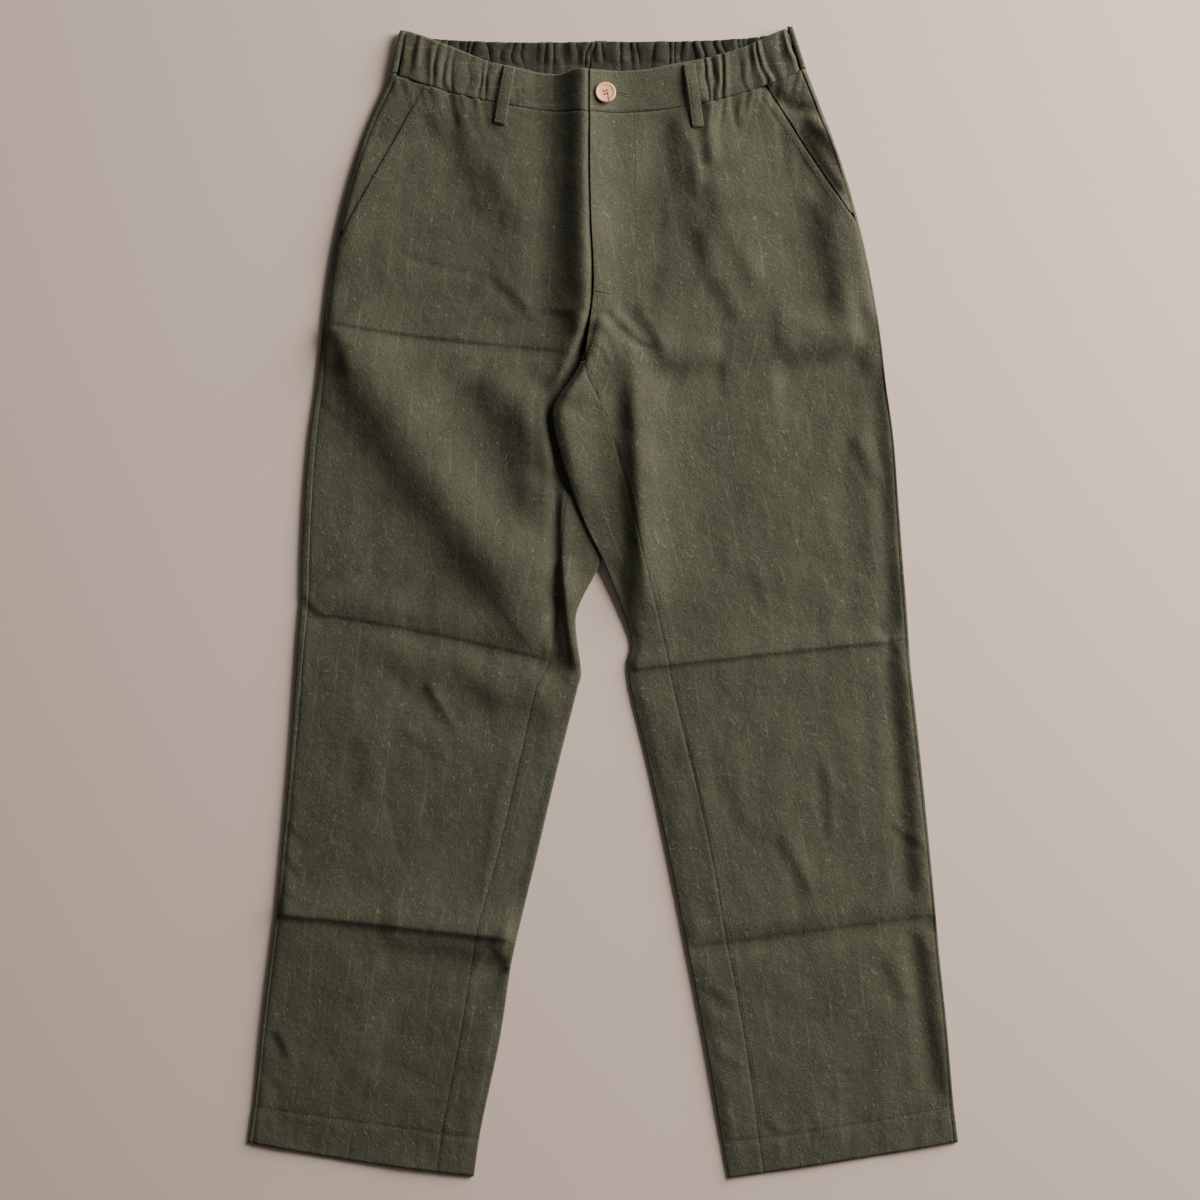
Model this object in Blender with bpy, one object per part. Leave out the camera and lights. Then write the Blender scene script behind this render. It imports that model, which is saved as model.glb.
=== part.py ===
"""Linen chinos lying flat on their back, with the front uppermost.

X runs across the garment (the wearer's right leg is at -X), Y runs up it towards the waist, and Z is up
from the surface it lies on. The tables are in millimetres and the model is in metres.

Each leg is worked out from a table of cross-sections between the waist seam and the hem. A back panel
lies underneath: it turns up round the side fold, and below the crotch also round the inner fold, until
it meets the front panel at the seams. The front panel is the upper layer, and carries the folds.
"""

import math
from collections import namedtuple

import bmesh
import bpy
from mathutils import Vector

# ---------------------------------------------------------------- driving dimensions (mm)
MM = 0.001
CLOTH = 1.2                  # one ply of linen, as a wall
HEM_CLOTH = 2.0              # the wall where the hem is turned up
BAND_CLOTH = 2.0             # the waistband, two plies
SEAM_GAP = 0.3               # clearance between pieces at a seam
BACK_WAIST_GAP = 1.0         # the same under the back waistband, where both pieces are rippled
LAYER_GAP_LIMIT = 3.9        # the back panel follows the front up past this air gap
EDGE_ROUNDING = 14.0         # how far in from a fold the upper layer has mostly risen
LAP_CLEARANCE = 3.2          # height of the left thigh's lower layer where it lies on the right thigh
LAP_REACH = 28.0             # how far past the right thigh's inner fold that lift stays whole
LAP_RAMP = 35.0              # width over which that lower layer then comes down to the surface
TUCK = 6.0                   # how far short of the left thigh the right one has come down
FOLD_STEPS = 4               # facets round the turned side of a back panel
ROW_PITCH = 31.0             # greatest spacing of the cross-sections of a leg
FRONT_COLUMNS = 13
STRIP_COLUMNS = 2            # columns of the back panel on the upper side of the inner fold
BACK_COLUMNS = 9
BACK_WAIST_RISE = 30.0       # how much higher than the front the back rises at its middle
BACK_RISE_END = 4.0          # section at which that rise has faded out
CENTRE_X = -2.3              # centre-back seam

BAND_TOP = 7.4               # upper side of the front waistband
FRONT_GATHER_HEIGHT = 0.8
FRONT_GATHER_PITCH = 9.0
BACK_GATHER_HEIGHT = 1.5
BACK_GATHER_PITCH = 10.5
POINTS_PER_GATHER = 4
BAND_WRAP = 5.2              # how far the back waistband turns over onto the front

LOOP_WIDTH = 10.8
LOOP_CLOTH = 1.4
LOOP_BULGE = 1.3
BUTTON_RADIUS = 9.5
BUTTON_THICKNESS = 2.6
BUTTON_RIM = 1.7
BUTTON_HOLE_RADIUS = 0.9
BUTTON_HOLE_PITCH = 2.9

LINEN = (0.064, 0.062, 0.036)
WOOD = (0.60, 0.47, 0.36)

# A section runs from the side fold to the inner fold, which is the centre line above the crotch.
# seam_x: edge of the front panel.  low_x: where the upper layer has come down to the lowest level.
# side_seam: distance of the side seam inside the side fold.  bow: sag of the section towards the hem.
# side_z, top_z, inner_z: height of the upper layer at the side fold, mid-leg and at the inner fold.
Section = namedtuple("Section", "side_x side_y inner_x inner_y seam_x low_x side_seam bow "
                                "side_z top_z inner_z split")

RIGHT_LEG = [Section(*row) for row in (
    (-195.5, 486.5, -2.3, 448.8, -12.4, -2.3, 5.5, 8.0, 4.6, 6.3, 6.2, 0),
    (-220.3, 429.5, -2.3, 402.8, -12.4, -2.3, 4.5, 5.0, 3.5, 6.3, 6.2, 0),
    (-238.7, 373.3, -2.3, 354.0, -11.5, -2.3, 3.5, 3.0, 3.1, 6.3, 6.2, 0),
    (-252.1, 310.8, -2.3, 295.1, -9.1, -2.3, 3.0, 2.0, 3.0, 6.3, 6.2, 0),
    (-259.9, 251.0, -9.7, 221.5, -20.7, -22.5, 4.0, 1.0, 3.0, 6.2, 2.9, 1),
    (-264.5, 201.3, -17.0, 173.7, -25.3, -46.5, 5.0, 0.0, 3.0, 6.2, 2.9, 1),
    (-270.5, 149.8, -15.2, 122.2, -29.0, -40.9, 6.0, 0.0, 3.0, 6.2, 2.9, 1),
    (-275.5, 90.0, -5.1, 68.8, -38.2, -40.0, 7.0, 0.0, 3.0, 6.3, 2.9, 1),
    (-277.8, 34.8, -2.3, 41.2, -40.0, -39.1, 7.2, 0.0, 3.0, 6.3, 2.9, 1),
    (-278.3, 8.1, -25.3, -15.8, -44.0, -36.3, 7.0, 0.0, 3.0, 6.3, 2.9, 1),
    (-279.2, -12.1, -20.2, -63.7, -51.1, -20.7, 6.5, 0.0, 3.0, 6.3, 2.9, 1),
    (-281.1, -34.2, -23.9, -80.2, -60.3, -23.9, 6.0, 0.0, 3.0, 6.3, 2.9, 1),
    (-288.4, -141.9, -42.3, -149.2, -77.7, -42.3, 4.5, 0.0, 3.0, 6.3, 2.9, 1),
    (-295.8, -227.4, -63.0, -236.6, -98.0, -63.0, 3.5, 0.0, 3.0, 6.3, 2.9, 1),
    (-301.3, -285.4, -81.0, -311.1, -117.3, -81.0, 3.0, 0.0, 3.0, 6.3, 2.9, 1),
    (-305.0, -314.8, -86.0, -335.1, -121.0, -86.0, 3.0, 0.0, 3.0, 6.3, 2.9, 1),
    (-313.3, -383.8, -95.2, -396.7, -131.1, -95.2, 3.0, 1.0, 3.2, 6.2, 3.2, 1),
    (-322.0, -462.9, -113.9, -491.5, -148.6, -113.9, 3.5, 2.5, 4.6, 6.2, 4.6, 1),
    (-327.1, -497.0, -119.1, -528.3, -153.5, -119.1, 4.0, 2.5, 4.6, 6.0, 4.6, 1),
)]

LEFT_LEG = [Section(*row) for row in (
    (186.8, 490.2, -2.3, 449.7, -12.0, -2.3, 5.0, 10.5, 4.6, 6.3, 6.3, 0),
    (209.3, 431.3, -2.3, 402.8, -12.0, -2.3, 4.5, 6.0, 3.5, 6.3, 6.3, 0),
    (229.5, 370.6, -2.3, 354.0, -11.0, -2.3, 3.5, 3.0, 3.1, 6.3, 6.3, 0),
    (242.4, 313.5, -2.3, 295.1, -8.6, -2.3, 2.5, 2.0, 3.0, 6.3, 6.3, 0),
    (254.4, 244.5, -20.7, 221.5, -16.5, -20.7, 2.5, 1.0, 3.0, 6.3, 6.2, 1),
    (259.4, 201.3, -46.5, 173.7, 0.5, -46.5, 2.5, 0.0, 3.0, 6.3, 6.1, 1),
    (266.3, 149.8, -33.6, 129.5, 14.3, -33.6, 2.5, 0.0, 3.0, 6.3, 6.1, 1),
    (270.9, 90.0, -12.4, 68.8, 29.9, -12.4, 3.0, 0.0, 3.0, 6.3, 6.1, 1),
    (274.6, 39.4, -2.3, 43.1, 37.3, -2.3, 3.5, 0.0, 3.0, 6.3, 6.1, 1),
    (278.0, -2.0, 26.2, -37.0, 55.5, 26.2, 3.5, 0.0, 3.0, 6.3, 2.9, 1),
    (280.1, -31.5, 22.4, -56.3, 59.8, 22.4, 3.5, 0.0, 3.0, 6.3, 2.9, 1),
    (281.5, -54.5, 24.4, -74.7, 63.0, 24.4, 3.5, 0.0, 3.0, 6.3, 2.9, 1),
    (289.8, -130.8, 40.9, -144.6, 79.6, 40.9, 3.5, 0.0, 3.0, 6.3, 2.9, 1),
    (299.5, -227.4, 63.0, -245.8, 101.7, 63.0, 3.0, 0.0, 3.0, 6.3, 2.9, 1),
    (305.4, -289.1, 77.7, -320.3, 114.1, 77.7, 3.0, 0.0, 3.0, 6.3, 2.9, 1),
    (307.7, -317.6, 82.3, -343.3, 119.1, 82.3, 3.0, 0.0, 3.0, 6.3, 2.9, 1),
    (315.1, -388.4, 97.1, -422.5, 132.9, 97.1, 3.0, 1.0, 3.2, 6.2, 3.2, 1),
    (322.9, -462.9, 109.5, -497.0, 143.1, 109.5, 3.5, 1.0, 4.6, 6.2, 4.6, 1),
    (327.1, -496.5, 115.7, -529.6, 147.7, 115.7, 4.0, 1.0, 4.6, 6.0, 4.6, 1),
)]

HEM_SECTION = 17             # the hem's stitching line
CROTCH_SECTION = 4           # from here down the legs part

# Slanted pocket openings, from the waist seam down to the side seam.
PocketPoint = namedtuple("PocketPoint", "y x")
RIGHT_POCKET = [PocketPoint(*p) for p in ((476.5, -163.5), (413.8, -198.7), (338.4, -240.6))]
LEFT_POCKET = [PocketPoint(*p) for p in ((478.0, 149.0), (412.9, 190.9), (346.7, 234.1))]
FACING_COLUMNS = 3

# The largest folds of the upper layer: a curve through three points, its height (a hollow is
# negative) and its half-width.
Fold = namedtuple("Fold", "name start middle end height width")
FOLDS = [Fold(*row) for row in (
    ("right thigh crease", (-250, 251), (-144, 238), (-40, 227), -1.3, 9),
    ("right thigh hollow", (-240, 222), (-140, 150), (-45, 52), -1.8, 30),
    ("right hip crease", (-197, 324), (-110, 306), (-52, 244), -0.9, 9),
    ("right fly hollow", (-30, 470), (-34, 330), (-30, 215), -2.2, 17),
    ("right knee crease", (-268, -14), (-158, -31), (-21, -64), -1.5, 9),
    ("right shin crease", (-299, -286), (-183, -298), (-80, -311), 1.5, 9),
    ("right waist hollow", (-120, 455), (-128, 420), (-150, 380), -0.9, 14),
    ("left loop hollow", (84, 448), (74, 415), (66, 380), -1.3, 11),
    ("left hip hollow", (196, 430), (222, 385), (236, 330), -1.0, 20),
    ("left thigh hollow", (40, 240), (22, 120), (42, 0), -1.7, 14),
    ("left hip crease", (53, 210), (145, 230), (240, 245), -1.2, 14),
    ("left knee crease", (25, -58), (136, -46), (278, -31), 1.5, 9),
    ("left shin crease", (78, -320), (180, -306), (305, -289), -1.5, 9),
)]
FOLD_SAMPLES = 10

# A rib crosses the waistband from its upper edge to the waist seam.
Rib = namedtuple("Rib", "top_x top_y bottom_x gather")
FRONT_BAND_RIGHT = [Rib(*row) for row in (
    (-181.0, 525.7, -188.4, 1.0),
    (-162.4, 519.6, -168.0, 1.0),
    (-137.5, 510.2, -142.0, 1.0),
    (-100.7, 496.2, -104.0, 0.8),
    (-79.6, 492.2, -80.0, 0.2),
    (-55.7, 487.4, -56.0, 0.0),
    (-40.0, 486.3, -40.0, 0.0),
    (-23.5, 489.5, -24.0, 0.0),
    (-12.6, 488.8, -12.6, 0.0),
)]
FRONT_BAND_LEFT = [Rib(*row) for row in (
    (-12.2, 488.8, -12.2, 0.0),
    (14.3, 488.6, 14.3, 0.0),
    (37.3, 490.2, 37.3, 0.0),
    (58.4, 494.3, 59.0, 0.0),
    (79.0, 498.0, 82.0, 0.3),
    (91.5, 500.3, 95.5, 1.0),
    (129.3, 510.7, 136.0, 1.0),
    (152.3, 521.2, 162.0, 1.0),
    (168.4, 527.7, 180.6, 1.0),
)]
BACK_BAND = [Rib(*row) for row in (
    (-187.4, 526.0, -195.5, 0.2),
    (-170.0, 520.5, -175.0, 1.0),
    (-157.8, 519.1, -160.0, 1.0),
    (-137.5, 517.8, -139.0, 1.0),
    (-86.0, 515.9, -86.0, 1.0),
    (-2.3, 516.2, -2.3, 1.0),
    (85.1, 517.1, 86.0, 1.0),
    (129.3, 519.4, 132.0, 1.0),
    (151.3, 521.7, 156.0, 1.0),
    (174.4, 529.6, 186.8, 0.2),
)]
BAND_ROWS = 3

# Belt loops of the front: middle of the upper end and of the lower end.
LoopEnds = namedtuple("LoopEnds", "name top bottom")
FRONT_LOOPS = [
    LoopEnds("belt_loop_front_right", (-86.0, 492.5), (-95.5, 440.0)),
    LoopEnds("belt_loop_front_left", (79.0, 495.5), (87.5, 437.0)),
]
LOOP_ROWS = 9
BACK_LOOP_TOP = 517.6
BUTTON_CENTRE = (3.4, 469.8)


# ---------------------------------------------------------------- smooth tables
def slopes(values):
    """Slopes of a smooth curve through evenly spaced values, without overshoot."""
    steps = [b - a for a, b in zip(values, values[1:])]
    result = [steps[0]]
    for before, after in zip(steps, steps[1:]):
        level = before * after <= 0
        result.append(0.0 if level else 2 * before * after / (before + after))
    result.append(steps[-1])
    return result


def smooth_table(rows):
    """A function of the row number that gives every column of the table as a smooth curve."""
    kind = type(rows[0])
    columns = list(zip(*rows))
    tangents = [slopes(column) for column in columns]

    def at(t):
        i = min(max(int(t), 0), len(rows) - 2)
        u = t - i
        weights = (2 * u**3 - 3 * u**2 + 1, u**3 - 2 * u**2 + u, 3 * u**2 - 2 * u**3, u**3 - u**2)
        parts = (
            (c[i] * weights[0] + m[i] * weights[1] + c[i + 1] * weights[2] + m[i + 1] * weights[3])
            for c, m in zip(columns, tangents)
        )
        return kind(*parts)

    return at


def smooth_step(value, low, high):
    u = min(max((value - low) / (high - low), 0.0), 1.0)
    return u * u * (3 - 2 * u)


def lerp(a, b, u):
    return a + (b - a) * u


def along(points, value):
    """Second column of a short table at a value of its first, which falls from row to row."""
    pairs = list(zip(points, points[1:]))
    a, b = next((pair for pair in pairs if value >= pair[1][0]), pairs[-1])
    return lerp(a[1], b[1], (value - a[0]) / (b[0] - a[0]))


# ---------------------------------------------------------------- folds of the upper layer
def curve_points(start, middle, end):
    """Points on the parabola through three points."""
    result = []
    for i in range(FOLD_SAMPLES + 1):
        u = i / FOLD_SAMPLES
        weights = ((1 - u) * (1 - 2 * u), 4 * u * (1 - u), u * (2 * u - 1))
        result.append(tuple(sum(w * p[k] for w, p in zip(weights, (start, middle, end))) for k in (0, 1)))
    return result


FOLD_PATHS = [(fold, curve_points(fold.start, fold.middle, fold.end)) for fold in FOLDS]


def fold_height(x, y):
    total = 0.0
    for fold, path in FOLD_PATHS:
        nearest, place = 1e9, 0.0
        for i, (a, b) in enumerate(zip(path, path[1:])):
            ex, ey = b[0] - a[0], b[1] - a[1]
            u = min(max(((x - a[0]) * ex + (y - a[1]) * ey) / (ex * ex + ey * ey), 0.0), 1.0)
            distance = math.hypot(x - a[0] - u * ex, y - a[1] - u * ey)
            if distance < nearest:
                nearest, place = distance, (i + u) / FOLD_SAMPLES
        fade = smooth_step(place, -0.05, 0.12) * smooth_step(1 - place, -0.05, 0.12)
        total += fold.height * fade * math.exp(-((nearest / fold.width) ** 2))
    return total


# ---------------------------------------------------------------- legs
def rise(distance):
    return 1 - math.exp(-((max(distance, 0.0) / EDGE_ROUNDING) ** 2))


class Leg:
    """One leg: where its sections lie, and how high its upper and lower layers are."""

    def __init__(self, rows, pocket, side):
        self.rows = rows
        self.at = smooth_table(rows)
        self.pocket = pocket
        self.side = side                      # -1 for the wearer's right leg, 1 for the left
        self.inner_line = [(row.inner_y, row.inner_x) for row in rows]

    def stations(self, first=0, last=None):
        last = len(self.rows) - 1 if last is None else last
        result = []
        for i in range(first, last):
            a, b = self.rows[i], self.rows[i + 1]
            spacing = max(abs(a.side_y - b.side_y), abs(a.inner_y - b.inner_y))
            steps = max(1, round(spacing / ROW_PITCH))
            result += [i + k / steps for k in range(steps)]
        return result + [last]

    def place(self, row, x, rise_t=None):
        """Y of a section at x; a back panel passes its section number for its higher waist."""
        s = (x - row.side_x) / (row.inner_x - row.side_x)
        inner_y, bow = row.inner_y, row.bow
        if rise_t is not None:
            share = 1 - smooth_step(rise_t, 0.0, BACK_RISE_END)
            inner_y += BACK_WAIST_RISE * share
            bow *= 1 - share
        return lerp(row.side_y, inner_y, s) - bow * 4 * s * (1 - s)

    def upper(self, row, x, y):
        """Height of the top of the upper layer."""
        s = min(max((x - row.side_x) / (row.inner_x - row.side_x), 0.0), 1.0)
        edge = lerp(row.side_z, row.inner_z, smooth_step(s, 0.3, 0.9))
        from_side = rise(abs(x - row.side_x))
        tuck = TUCK if self.side < 0 else 0.0
        from_inner = 1 - row.split * (1 - rise((x - row.low_x) * self.side - tuck))
        share = from_side * from_inner
        height = lerp(edge, row.top_z, share) + fold_height(x, y) * share
        return max(height, self.lap(x, y) + 2 * CLOTH + SEAM_GAP)

    def lap(self, x, y):
        """Lift of the lower layer where the left thigh lies on the right one."""
        if self.side < 0:
            return 0.0
        hidden_edge = along(RIGHT.inner_line, y)
        across = 1 - smooth_step(x, hidden_edge + LAP_REACH, hidden_edge + LAP_REACH + LAP_RAMP)
        lengthways = smooth_step(-y, -355, -305) * (1 - smooth_step(-y, -36, 0))
        return LAP_CLEARANCE * across * lengthways

    def lower(self, row, x, y):
        """Height of the underside of the lower layer."""
        raised = self.upper(row, x, y) - 2 * CLOTH - LAYER_GAP_LIMIT
        inside = min(abs(x - row.side_x), abs(x - row.inner_x) if row.split > 0.5 else 99.0)
        return max(raised * smooth_step(inside, 4, 20), self.lap(x, y), 0.0)

    def panel_edge(self, row):
        """X of the outer edge of the front panel: the pocket opening, or below it the side seam."""
        seam = row.side_x - self.side * row.side_seam
        opening = along(self.pocket, row.side_y - 6)
        for _ in range(4):
            opening = along(self.pocket, self.place(row, opening))
        return seam if opening * self.side > seam * self.side else opening


RIGHT = Leg(RIGHT_LEG, RIGHT_POCKET, -1)
LEFT = Leg(LEFT_LEG, LEFT_POCKET, 1)


# ---------------------------------------------------------------- making solids
def clear_scene():
    for item in list(bpy.data.objects):
        bpy.data.objects.remove(item)


def material(name, colour, roughness):
    result = bpy.data.materials.new(name)
    result.use_nodes = True
    shader = result.node_tree.nodes["Principled BSDF"]
    shader.inputs["Base Color"].default_value = (*colour, 1.0)
    shader.inputs["Roughness"].default_value = roughness
    return result


def new_object(name, mesh_builder, finish):
    mesh = bpy.data.meshes.new(name)
    mesh_builder.to_mesh(mesh)
    mesh_builder.free()
    mesh.materials.append(finish)
    mesh.shade_smooth()
    item = bpy.data.objects.new(name, mesh)
    bpy.context.collection.objects.link(item)
    return item


def cloth_sheet(name, grid, finish, thickness=CLOTH, thick_rows=None, thick=None):
    """A wall from a grid of points on its outer face, in mm; a missing point is None.

    The rows of the grid run from the waist to the hem. The outer face is the one from which the
    columns run anticlockwise to the rows, and the wall grows inwards from it.
    """
    builder = bmesh.new()
    layer = builder.verts.layers.deform.verify()
    greatest = thick or thickness
    verts = []
    for i, row in enumerate(grid):
        line = []
        for point in row:
            vert = builder.verts.new(Vector(point) * MM) if point else None
            if vert:
                vert[layer][0] = (thick if thick_rows and i in thick_rows else thickness) / greatest
            line.append(vert)
        verts.append(line)
    for upper, lower in zip(verts, verts[1:]):
        for a, b, c, d in zip(upper, upper[1:], lower[1:], lower):
            if a and b and c and d:
                builder.faces.new((a, d, c, b))
    for vert in [v for v in builder.verts if not v.link_faces]:
        builder.verts.remove(vert)
    item = new_object(name, builder, finish)
    item.vertex_groups.new(name="thickness")
    wall = item.modifiers.new("wall", "SOLIDIFY")
    wall.thickness = greatest * MM
    wall.offset = -1
    wall.vertex_group = "thickness"
    return item


def hem_rows(stations):
    return {i for i, t in enumerate(stations) if t >= HEM_SECTION}


def turn(x0, z0, z1, outward, steps=FOLD_STEPS):
    """Half circle in a section from height z0 to z1, bulging to x0."""
    radius = (z1 - z0) / 2
    centre = x0 - outward * radius
    result = []
    for k in range(1, steps + 1):
        angle = math.pi * k / steps
        result.append((centre + outward * radius * math.sin(angle), z0 + radius - radius * math.cos(angle)))
    return result


# ---------------------------------------------------------------- panels
def front_panel(leg, name, finish):
    stations = leg.stations()
    grid = []
    for t in stations:
        row = leg.at(t)
        start = leg.panel_edge(row) - leg.side * SEAM_GAP
        line = []
        for j in range(FRONT_COLUMNS + 1):
            x = lerp(start, row.seam_x, j / FRONT_COLUMNS)
            y = leg.place(row, x)
            line.append((x, y, leg.upper(row, x, y)))
        grid.append(line if leg.side < 0 else line[::-1])
    cloth_sheet(name, grid, finish, thick_rows=hem_rows(stations), thick=HEM_CLOTH)


def back_section(leg, t):
    """Points of a back panel's outer face, from its side seam under the leg to its inner seam."""
    row = leg.at(t)
    side = leg.side
    seam = row.side_x - side * row.side_seam
    split = t >= CROTCH_SECTION
    points = []

    def add(x, z, y_at=None):
        points.append((x, leg.place(row, x if y_at is None else y_at, t), z))

    y = leg.place(row, seam, t)
    add(seam, leg.upper(row, seam, y))
    radius = row.side_z / 2
    for x, z in reversed(turn(row.side_x, 0.0, row.side_z, side)):
        add(x, z)
    start = row.side_x - side * radius
    low = leg.lap(row.inner_x, leg.place(row, row.inner_x, t))
    inner_radius = (row.inner_z - low) / 2 if split else 0.0
    end = row.inner_x + side * (inner_radius if split else SEAM_GAP / 2)
    for j in range(BACK_COLUMNS + 1):
        x = lerp(start, end, j / BACK_COLUMNS)
        add(x, leg.lower(row, x, leg.place(row, x, t)))
    if not split:
        return points + [None] * (FOLD_STEPS + STRIP_COLUMNS)
    for x, z in turn(row.inner_x, low, row.inner_z, -side):
        add(x, z)
    edge = row.seam_x - side * SEAM_GAP
    first = row.inner_x + side * inner_radius
    for j in range(1, STRIP_COLUMNS + 1):
        x = lerp(first, edge, j / STRIP_COLUMNS)
        y = leg.place(row, x, t)
        add(x, max(leg.upper(row, x, y), row.inner_z))
    return points


def back_panel(leg, name, finish):
    stations = leg.stations()
    grid = [back_section(leg, t) for t in stations]
    if leg.side > 0:
        grid = [line[::-1] for line in grid]
    grid = [line[::-1] for line in grid]
    cloth_sheet(name, grid, finish, thick_rows=hem_rows(stations), thick=HEM_CLOTH)


def pocket_facing(leg, name, finish):
    """The strip of the side piece that shows between the pocket opening and the side seam."""
    grid = []
    for t in leg.stations():
        row = leg.at(t)
        seam = row.side_x - leg.side * (row.side_seam + SEAM_GAP)
        opening = leg.panel_edge(row) + leg.side * SEAM_GAP
        if (seam - opening) * leg.side < 2.0:
            break
        line = []
        for j in range(FACING_COLUMNS + 1):
            x = lerp(seam, opening, j / FACING_COLUMNS)
            y = leg.place(row, x)
            line.append((x, y, max(leg.upper(row, x, y) - 0.9 * (j > 0), 2.9)))
        grid.append(line if leg.side < 0 else line[::-1])
    cloth_sheet(name, grid, finish)


# ---------------------------------------------------------------- waistband
def band_ribs(ribs, pitch):
    """Ribs of a band, close enough together for its gathers."""
    at = smooth_table(ribs)
    spans = [math.hypot(b.top_x - a.top_x, b.top_y - a.top_y) for a, b in zip(ribs, ribs[1:])]
    gathers = round(sum(spans) / pitch)
    count = gathers * POINTS_PER_GATHER
    result, travelled = [], 0.0
    for k in range(count + 1):
        target = sum(spans) * k / count
        i, passed = 0, 0.0
        while i < len(spans) - 1 and passed + spans[i] < target:
            passed += spans[i]
            i += 1
        rib = at(i + (target - passed) / spans[i])
        if rib.gather < 0.05 and k % 3 and k != count:
            continue
        result.append((rib, k / POINTS_PER_GATHER))
    return result


def gather_wave(turns):
    """A ripple whose spacing wanders a little from one gather to the next."""
    return math.cos(2 * math.pi * (turns + 0.17 * math.sin(1.7 * turns) + 0.08 * math.sin(4.1 * turns)))


def waist_seam(x, back):
    leg = RIGHT if x < -12.3 else LEFT
    return leg.place(leg.rows[0], x, 0) + BACK_WAIST_GAP if back else leg.place(leg.rows[0], x) + SEAM_GAP


def front_band(ribs, name, finish):
    columns = []
    for rib, turns in band_ribs(ribs, FRONT_GATHER_PITCH):
        height = BAND_TOP + FRONT_GATHER_HEIGHT * rib.gather * gather_wave(turns)
        bottom_y = waist_seam(rib.bottom_x, False)
        column = []
        for i in range(BAND_ROWS):
            u = i / (BAND_ROWS - 1)
            column.append((lerp(rib.top_x, rib.bottom_x, u), lerp(rib.top_y, bottom_y, u), height))
        columns.append(column)
    cloth_sheet(name, list(zip(*columns)), finish, BAND_CLOTH)


def back_band(name, finish):
    """The gathered band under the front one; its ends turn up round the sides."""
    columns = []
    ribs = band_ribs(BACK_BAND, BACK_GATHER_PITCH)

    def column_at(rib, shift, height):
        bottom_y = waist_seam(rib.bottom_x, True)
        for_rib = []
        for i in range(BAND_ROWS):
            u = i / (BAND_ROWS - 1)
            for_rib.append((lerp(rib.top_x, rib.bottom_x, u) + shift, lerp(rib.top_y, bottom_y, u), height))
        return for_rib

    for side, rib in ((-1, ribs[0][0]), (1, ribs[-1][0])):
        radius = BAND_TOP / 2
        ends = [column_at(rib, -side * (BAND_WRAP - SEAM_GAP), BAND_TOP)]
        for x, z in reversed(turn(0.0, 0.0, BAND_TOP, side)):
            ends.append(column_at(rib, x, z))
        if side < 0:
            columns = ends
            for middle_rib, turns in ribs:
                inside = min(middle_rib.top_x - ribs[0][0].top_x, ribs[-1][0].top_x - middle_rib.top_x)
                if inside < radius:
                    continue
                lift = BACK_GATHER_HEIGHT / 2 * (1 + gather_wave(turns)) * middle_rib.gather
                over_loop = LOOP_CLOTH + SEAM_GAP
                near_loop = abs(middle_rib.top_x - CENTRE_X) < LOOP_WIDTH / 2 + 4
                columns.append(column_at(middle_rib, 0.0, max(lift, over_loop) if near_loop else lift))
        else:
            columns += ends[::-1]
    cloth_sheet(name, [line[::-1] for line in zip(*columns)], finish, BAND_CLOTH)


# ---------------------------------------------------------------- belt loops and button
def loop_strip(name, top, bottom, heights, finish, flip=False):
    """A strip between two points, whose outer face follows the given heights from top to bottom."""
    direction = Vector((bottom[0] - top[0], bottom[1] - top[1])).normalized()
    across = Vector((-direction.y, direction.x)) * (LOOP_WIDTH / 2)
    grid = []
    for i, height in enumerate(heights):
        u = i / (len(heights) - 1)
        centre = Vector((lerp(top[0], bottom[0], u), lerp(top[1], bottom[1], u)))
        line = [tuple(centre - across) + (height,), tuple(centre) + (height,), tuple(centre + across) + (height,)]
        grid.append(line[::-1] if flip else line)
    cloth_sheet(name, grid, finish, LOOP_CLOTH)


def front_loops(finish):
    for ends in FRONT_LOOPS:
        base = BAND_TOP + FRONT_GATHER_HEIGHT + SEAM_GAP + LOOP_CLOTH
        heights = []
        for i in range(LOOP_ROWS):
            u = i / (LOOP_ROWS - 1)
            heights.append(base + LOOP_BULGE * math.sin(math.pi * u) ** 2 - 1.2 * smooth_step(u, 0.8, 1.0))
        loop_strip(ends.name, ends.top, ends.bottom, heights, finish)


def back_loop(finish):
    """Lies under the back waistband, with its upper end just past the band's edge."""
    bottom_y = waist_seam(CENTRE_X, True)
    loop_strip("belt_loop_back", (CENTRE_X, BACK_LOOP_TOP), (CENTRE_X, bottom_y), [0.0, 0.0, 0.0], finish, True)


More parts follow.
